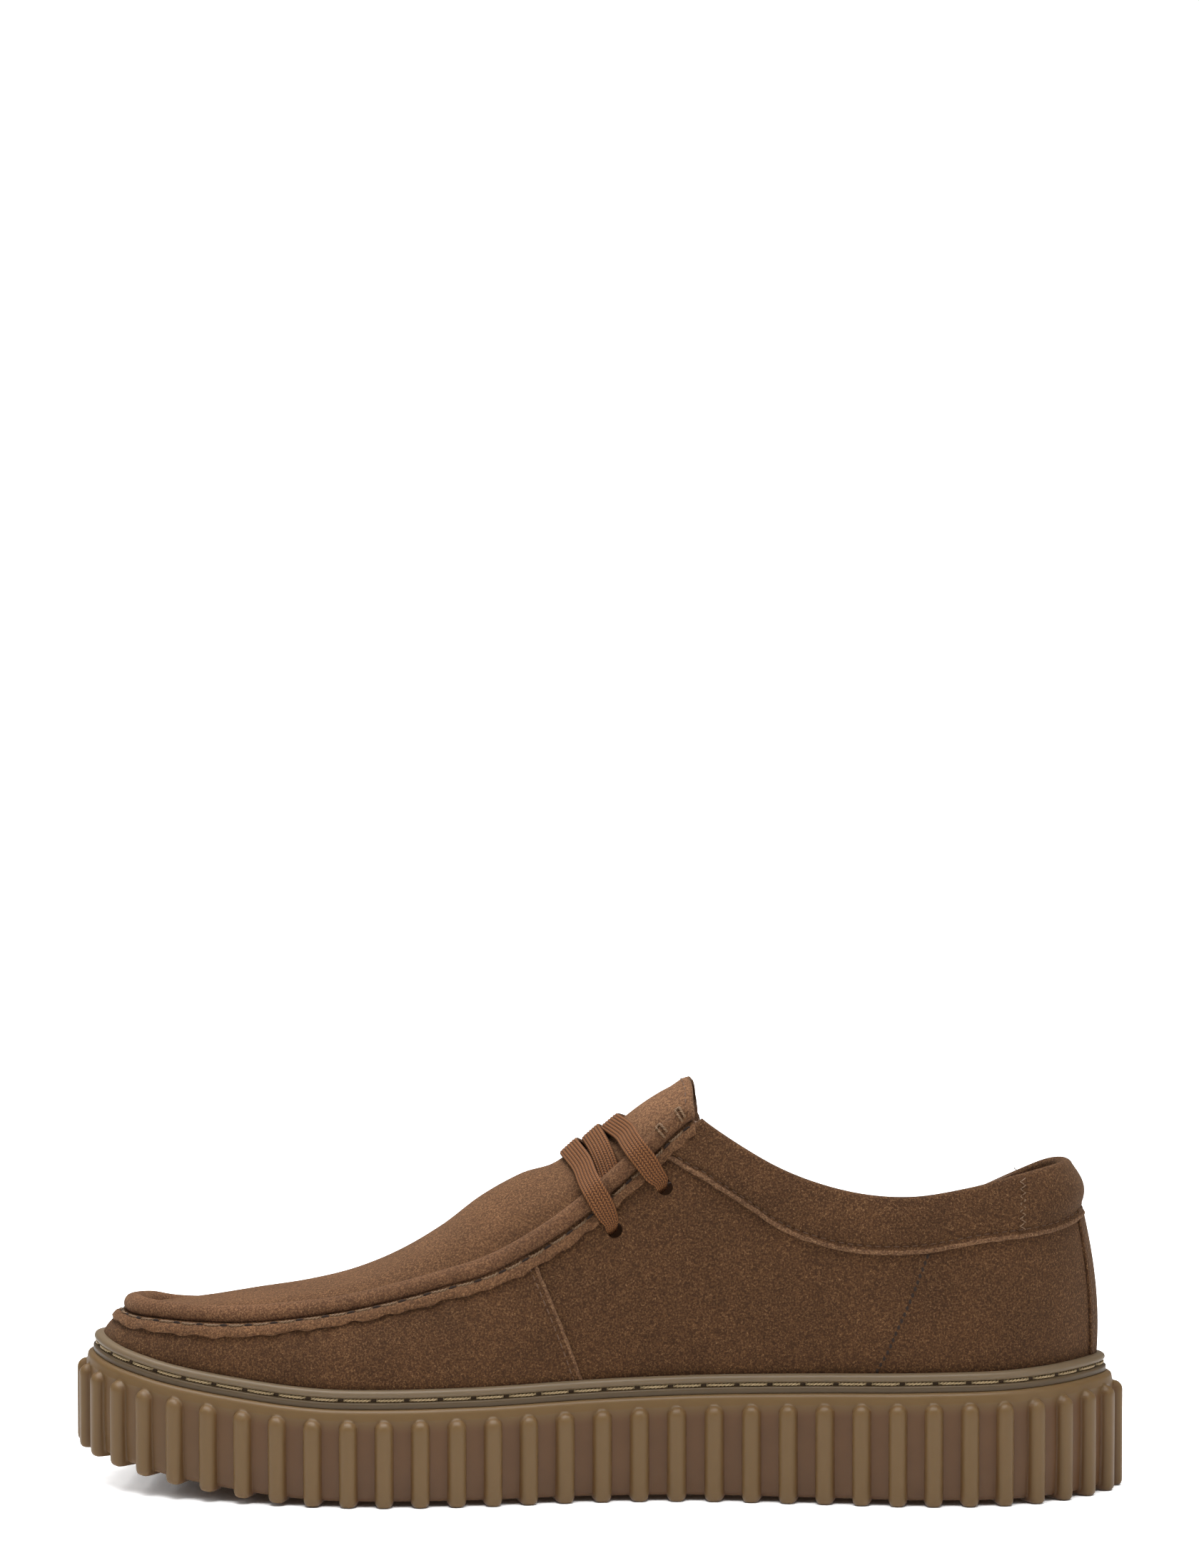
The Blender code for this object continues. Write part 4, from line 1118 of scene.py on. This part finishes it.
# (x, z) down the rear seam
REAR_SEAM = (
    (0.0949, 0.0716), (0.0910, 0.0614), (0.0884, 0.0548), (0.0854, 0.0479), (0.0838, 0.0437),
    (0.0805, 0.0375),
)
JOIN_X = 0.1195
join_thread = thread_material("join_thread_waxed", "#7f6246", "#553e2a", 0.6)
SEAM_POINTS = 60
SEAM_INSIDE = 0.0052
for side, name in ((-1, "medial"), (1, "lateral")):
    ups = np.linspace(0.0, 0.90, SEAM_POINTS)
    path, out = seam_line(side, np.full(SEAM_POINTS, VAMP_LAP), ups, UPPER_WALL + LAP_STEP * 0.7)
    raw_edge(f"front_seam_raw_edge_{name}", path, out, 0.0006, 0.0005)
    shares = np.full(SEAM_POINTS, VAMP_LAP - SEAM_INSIDE)
    path, out = seam_line(side, shares, ups, UPPER_WALL + LAP_STEP)
    fine_stitches(f"front_seam_stitching_{name}", path, out, 0.00018)
    drop = 0.0 if side < 0 else 0.004
    seam_z = np.linspace(REAR_SEAM[0][1] - drop, REAR_SEAM[-1][1], 20)
    seam_x = np.interp(seam_z, [z for _, z in REAR_SEAM[::-1]], [x for x, _ in REAR_SEAM[::-1]])
    places = np.array([place_on_wall(side, x, z) for x, z in zip(seam_x, seam_z)])
    path, out = seam_line(side, places[:, 0], places[:, 1], UPPER_WALL)
    ways = np.gradient(path, axis=0) + (0.0006, 0, 0)
    dots(f"rear_seam_holes_{name}", path, out, 0.00044, slit_shade, 1.6, ways)
    join_z = np.linspace(0.0765, 0.0905, 15) - drop / 2
    zigzag = [(JOIN_X + 0.0007 * (-1) ** k, z) for k, z in enumerate(join_z)]
    places = np.array([place_on_wall(side, x, z) for x, z in zigzag])
    path, out = seam_line(side, places[:, 0], places[:, 1], UPPER_WALL + BAND_STEP + 0.0010)
    fine_stitches(f"collar_join_{name}", path, out, 0.00014, 0.0019, 0.0016, join_thread)

# The back stay
# A narrow strip of suede up the back of the heel, sewn down each edge.

STAY_SHARE = 0.972
STAY_WALL = 0.0009

stay_places = ring_around(np.linspace(STAY_SHARE, 1.0, 12))
stay_points, stay_normals = wall_panel(stay_places, BAND_WIDTH - 0.002, 24, UPPER_WALL + 0.0008)
surface("back_stay", stay_points, suede_panel, thickness=STAY_WALL, bevel=0.0002)
for index, name in ((2, "medial"), (-3, "lateral")):
    path = stay_points[index, 1:-2]
    fine_stitches(f"back_stay_stitching_{name}", path, stay_normals[index, 1:-2], 0.00016)

# The tongue
# A soft suede tongue, sewn to the end of the plug and hemmed round its top edge.

TONGUE_HALF = 22
TONGUE_WALL = 0.0014
TONGUE_UNDER = 0.003
TONGUE_SINK = 0.0006
TONGUE_PRESS = 0.0017
TONGUE_FLARE = 0.0012
TONGUE_CORNER = 0.0065


def tongue_row(share, start):
    """A row across the tongue. It starts this far in from the ridge on each side."""
    halves = []
    for side in (-1, 1):
        line, height = over_ridge(side, share)
        halves.append(walk(line, np.linspace(height + start, arc_run(line)[-1], TONGUE_HALF)))
    return np.concatenate([halves[0], halves[1][-2::-1]])


TONGUE_END = 0.640
tongue_shares = np.linspace(0.53, TONGUE_END, 50)
top_turn = ease(0.632, TONGUE_END, tongue_shares) ** 2
tongue_starts = top_turn * 0.0035 - TONGUE_UNDER
tongue_rows = np.array([tongue_row(share, start) for share, start in zip(tongue_shares, tongue_starts)])
inner = np.linspace(0, 1, TONGUE_HALF)
from_edge = np.concatenate([inner, inner[-2::-1]])
# Its top edge stops sooner at the sides than in the middle
tongue_base = np.empty_like(tongue_rows)
for j, inside in enumerate(from_edge):
    corner = TONGUE_CORNER * (1 - ease(0, 0.7, inside))
    reached = tongue_shares - corner * ease(0.58, TONGUE_END, tongue_shares)
    for axis in range(3):
        tongue_base[:, j, axis] = np.interp(reached, tongue_shares, tongue_rows[:, j, axis])
pressed = TONGUE_PRESS * (1 - ease(0.10, 0.45, from_edge))[None, :] * (1 - top_turn)[:, None]
_, tongue_normals = lofted(tongue_base, 0.0)
tongue_up = tongue_normals * np.sign(tongue_normals[:, :, 2].mean())
flare = TONGUE_FLARE * ease(0.62, TONGUE_END, tongue_shares)[:, None] * ease(0.3, 0.9, from_edge)[None, :]
tongue_points = tongue_base + tongue_up * (flare - TONGUE_SINK - pressed)[..., None]
suede_tongue = suede("suede_tongue_brushed", "#75543b", "#513828", "#ab845e")
tongue = surface("tongue_panel", tongue_points, suede_tongue, thickness=TONGUE_WALL, bevel=0.0004)
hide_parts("tongue")
end_way = unit(np.gradient(tongue_points, axis=0)[-1])
end_middle = tongue_points[-1] - tongue_up[-1] * TONGUE_WALL / 2
raw_edge("tongue_raw_edge", end_middle, end_way, TONGUE_WALL / 2, 0.0005)
fine_stitches("tongue_hem_stitching", tongue_points[-4], tongue_up[-4], 0.00018, 0.0028, 0.0019)

# The lace
# One flat braided cotton lace, a little more orange than the suede. Three runs of it show: over
# the rolls between the lower holes, under the flaps across the tongue, and over the rolls again
# between the top holes, where its ends stop inside.

LACE_WIDTH = 0.0067
LACE_THICKNESS = 0.0015
LACE_CORDS = 7


def last_point(side, share, distance):
    """The last's point this far in from the ridge, or down the wall where that is negative.

    With it comes how far the crown lies in from the ridge.
    """
    line, height = over_ridge(side, share)
    return walk(line, [height + distance])[0], arc_run(line)[-1] - height


def braided_cotton(name, colour, dark):
    """Braided cotton: cords lie side by side, and their plaited yarns slant to and fro. The grooves between
    the cords are darkened toward near black as painted shade.
    """
    material, tree, shader = new_material(name, colour, 0.75)
    shader.inputs["Sheen Weight"].default_value = 0.04
    shader.inputs["Specular IOR Level"].default_value = 0.25
    shader.inputs["Sheen Tint"].default_value = linear("#c9a179")
    plan = node(tree, "ShaderNodeUVMap", {"uv_map": "UVMap"}).outputs["UV"]
    parts = node(tree, "ShaderNodeSeparateXYZ", Vector=plan)
    yarn_mm = 0.85
    cord = maths(tree, "PINGPONG", parts.outputs["X"], 1.0)
    slant = maths(tree, "MULTIPLY_ADD", cord, 0.8, parts.outputs["Y"])
    wave = maths(tree, "SINE", maths(tree, "MULTIPLY", slant, 2 * math.pi / yarn_mm))
    yarn = rescale(tree, wave, -1.0, 1.0)
    # Painted shade: the mesh's shade value darkens the grooves between the cords
    groove_shade = node(tree, "ShaderNodeAttribute", {"attribute_name": "shade"}).outputs["Fac"]
    laid = blend(tree, groove_shade, blend(tree, yarn, dark, colour), "#26150a")
    paint(tree, shader, laid, yarn, 0.4, 0.0002)
    return material


# (side, share, distance in from the ridge or None at the crown, lift over the last, width)
Knot = namedtuple("Knot", "side share inward lift width")
OVER = 0.0034


def crossing(eyelet, ridge_share, crown_share, crown_lift, entry):
    """Half of an outside crossing, from inside the hole, over flange and roll, to the crown."""
    hole = -eyelet.down

    def toward_ridge(part):
        return eyelet.feather + (ridge_share - eyelet.feather) * part

    return (
        (entry, hole + 0.0004, -0.0020, 0.0032),
        (entry, hole + 0.0010, 0.0010, 0.0036),
        (toward_ridge(0.18), hole + 0.0024, OVER - 0.0004, 0.0047),
        (toward_ridge(0.42), hole + 0.0048, OVER + 0.0010, 0.0061),
        (toward_ridge(0.72), -0.0036, OVER + 0.0025, LACE_WIDTH),
        (ridge_share, 0.0, OVER + 0.0030, LACE_WIDTH),
        (ridge_share * 0.8 + crown_share * 0.2, 0.0036, OVER + 0.0016, LACE_WIDTH),
        (ridge_share * 0.5 + crown_share * 0.5, 0.0095, (OVER + crown_lift) / 2, LACE_WIDTH),
        (crown_share, None, crown_lift, LACE_WIDTH),
    )


def both_sides(half, first):
    """The half's knots on the first side, and mirrored back down on the other."""
    knots = [Knot(first, *row) for row in half]
    return knots + [Knot(-first, *row) for row in half[-2::-1]]


lower, upper = EYELETS
lower_half = crossing(lower, 0.5638, 0.5570, 0.0034, lower.feather - 0.0018)
upper_half = crossing(upper, 0.5955, 0.5822, 0.0010, upper.feather - 0.0025)
under_half = (
    (0.5730, -0.0076, -0.0022, 0.0044),
    (0.5728, -0.0030, -0.0014, LACE_WIDTH),
    (0.5724, 0.0020, -0.0011, LACE_WIDTH),
    (0.5720, 0.0070, 0.0001, LACE_WIDTH),
    (0.5716, 0.0130, 0.0015, LACE_WIDTH),
    (0.5713, None, 0.0021, LACE_WIDTH),
)
lace_runs = {
    "lace_run_lower": both_sides(lower_half, 1),
    "lace_run_middle": both_sides(under_half, -1),
    "lace_run_upper": both_sides(upper_half, 1),
}


def ribbon(name, knots, material):
    """A flat lace along its knots, with its cords modelled across its width."""
    places = []
    widths = []
    for knot in knots:
        inward = last_point(knot.side, knot.share, 0)[1] if knot.inward is None else knot.inward
        place = last_point(knot.side, knot.share, inward)[0]
        places.append(place)
        widths.append(last_point(knot.side, knot.share + 0.002, inward)[0] - place)
    places = np.array(places)
    widths = np.array(widths)
    normals = unit(np.cross(widths, np.gradient(places, axis=0)))
    normals *= np.sign(normals[len(normals) // 2, 2])
    middle = places + normals * np.array([knot.lift for knot in knots])[:, None]
    run = arc_run(middle)
    steps = np.linspace(0, run[-1], int(run[-1] / 0.0006))
    line = np.stack([smooth(run, middle[:, axis], steps) for axis in range(3)], axis=1)
    kernel = np.hanning(13)[1:-1]
    tangents = unit(np.gradient(line, axis=0))
    across = square_to(evened(along_path(widths, run, steps), kernel / kernel.sum()), tangents)
    up = np.cross(across, tangents)
    width = np.interp(steps, run, [knot.width for knot in knots])
    per_cord = 6
    u = np.linspace(0, 1, LACE_CORDS * per_cord + 1)
    scallop = np.abs(np.sin(np.pi * u * LACE_CORDS)) ** 0.6
    bow = np.sqrt(np.clip(1 - (2 * u - 1) ** 8, 0, 1))
    top = 0.5 * bow - 0.20 * (1 - scallop)
    section_u = np.concatenate([u, u[-2::-1]])
    section_v = np.concatenate([top, -top[-2::-1]])
    rings = line[:, None] + across[:, None] * (width[:, None] * (section_u - 0.5))[..., None]
    rings = rings + up[:, None] * (LACE_THICKNESS * section_v)[:, None]
    core = np.broadcast_to(line[:, None], rings.shape)
    # Painted shade for the material, darkest in the grooves where the cords meet
    groove_shade = 0.95 * (1 - np.concatenate([scallop, scallop[-2::-1]]))
    groove_shade = np.broadcast_to(groove_shade, rings.shape[:2])
    piece = surface(name, rings, material, weld=True, core=core, shade=groove_shade)
    layer = piece.data.uv_layers["UVMap"].data
    columns = len(section_u) - 1
    for loop in layer:
        u_place, v_place = loop.uv
        loop.uv = (u_place * columns / per_cord, v_place * run[-1] * 1000)
    return piece


lace_cotton = braided_cotton("lace_cotton_braided", "#81522c", "#4d2c12")
for name, knots in lace_runs.items():
    ribbon(name, knots, lace_cotton)

# The throat's tacks
# Two short bars of close thread over the top of each roll keep the flap's corner together.

TACK_SHARES = (0.6125, 0.6275)
TACK_RADIUS = ROLL_RADIUS * 0.86
TACK_PITCH = 0.0034
TACK_STITCH = 0.0030
tack_angles = np.linspace(math.radians(50), math.radians(150), 12)
tack_thread = thread_material("tack_thread_waxed", "#8a6947", "#3f2c1c", 0.6)
for side, name in ((-1, "medial"), (1, "lateral")):
    for number, share in enumerate(TACK_SHARES):
        nearest = np.array([abs(place[1] - share) + (place[0] != side) for place in roll_places])
        start = nearest.argmin()
        arcs = []
        outs = []
        for j, order in ((start, -1), (start + 2, 1)):
            across = np.outer(np.cos(tack_angles), ridge_in[j])
            out = (across + np.outer(np.sin(tack_angles), ridge_out[j]))[::order]
            arcs.append(roll_centre[j] + out * TACK_RADIUS)
            outs.append(out)
        bar = (np.concatenate(arcs), np.concatenate(outs), TACK_PITCH, TACK_STITCH)
        stitches(f"throat_tack_{name}_{number}", *bar, 0.00022, tack_thread, dive=0.0004)

upper_pieces = [vamp, quarters, plug, roll, flange, band, lining, vamp_lining]
for piece in upper_pieces:
    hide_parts("upper")
for place in ("lower", "middle", "upper"):
    cad_name, run_name = "lace_" + place, "lace_run_" + place
    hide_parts(cad_name)

# The floor, lights and camera
# A plain white floor under soft studio boxes, and the camera level with the photo's view of the
# medial side.

CONTACT_SHADOW = 0.012
PAPER_LIGHT = 0.12
PAPER_SEEN = 0.80
WORLD_LIGHT = 0.26
WORLD_SEEN = 1.05

floor_made = bmesh.new()
bmesh.ops.create_grid(floor_made, x_segments=1, y_segments=1, size=6)
floor_mesh = mesh_of("floor", floor_made)
floor = bpy.data.objects.new("floor", floor_mesh)
bpy.context.scene.collection.objects.link(floor)
# White paper: the camera sees it glowing pure white, with a painted contact shadow where the sole shelters
# it, made by an occlusion mask that dims that glow
paper, _, paper_shader = new_material("floor_paper", "#ffffff", 0.9)
paper_shader.inputs["Emission Color"].default_value = (1, 1, 1, 1)
paper_tree = paper.node_tree
looked_at = node(paper_tree, "ShaderNodeLightPath")
# Painted contact shadow: the glow the camera sees falls off where the sole is near
shelter = node(paper_tree, "ShaderNodeAmbientOcclusion", {"samples": 12}, Distance=CONTACT_SHADOW)
away = rescale(paper_tree, shelter.outputs["AO"], 0.25, 0.75, 0.0, PAPER_SEEN)
glow = node(paper_tree, "ShaderNodeMix", {"data_type": "FLOAT"}, i0=looked_at.outputs["Is Camera Ray"])
glow.inputs["A"].default_value = PAPER_LIGHT
paper_tree.links.new(away, glow.inputs["B"])
paper_tree.links.new(glow.outputs["Result"], paper_shader.inputs["Emission Strength"])
floor_mesh.materials.append(paper)

# The camera sees the studio's paper as pure white, and the shoe is lit by less than that
world = bpy.data.worlds.new("studio")
bpy.context.scene.world = world
world.use_nodes = True
sky = world.node_tree.nodes["Background"]
sky.inputs["Color"].default_value = (1, 1, 1, 1)
seen = node(world.node_tree, "ShaderNodeLightPath")
brightness = rescale(world.node_tree, seen.outputs["Is Camera Ray"], 0.0, 1.0, WORLD_LIGHT, WORLD_SEEN)
world.node_tree.links.new(brightness, sky.inputs["Strength"])


def softbox(name, place, target, size, power):
    """A square studio light that faces its target."""
    light = bpy.data.lights.new(name, "AREA")
    light.shape = "RECTANGLE"
    light.size, light.size_y = size
    light.energy = power
    lamp = bpy.data.objects.new(name, light)
    lamp.location = place
    lamp.rotation_euler = (Vector(target) - Vector(place)).to_track_quat("-Z", "Y").to_euler()
    bpy.context.scene.collection.objects.link(lamp)


softbox("softbox_top", (-0.08, -0.05, 1.2), (0, 0, 0.05), (1.3, 1.0), 31)
softbox("softbox_left", (-1.2, -0.9, 0.9), (0, 0, 0.05), (0.9, 0.9), 2.8)
softbox("softbox_right", (1.3, -0.7, 0.8), (0, 0, 0.05), (0.9, 0.9), 4.5)

camera_data = bpy.data.cameras.new("camera")
camera = bpy.data.objects.new("camera", camera_data)
bpy.context.scene.collection.objects.link(camera)
IMAGE_HEIGHT = 2197
FOCAL_PIXELS = 7339.6
camera_data.sensor_fit = "VERTICAL"
camera_data.sensor_height = 36
camera_data.lens = FOCAL_PIXELS * camera_data.sensor_height / IMAGE_HEIGHT
camera_data.clip_end = 50
camera.location = (0.06611, -1.50671, 0.27638)
camera.rotation_euler = (math.radians(90 - 2.85265), 0, math.radians(2.50453))
bpy.context.scene.camera = camera
bpy.context.scene.view_settings.view_transform = "Standard"
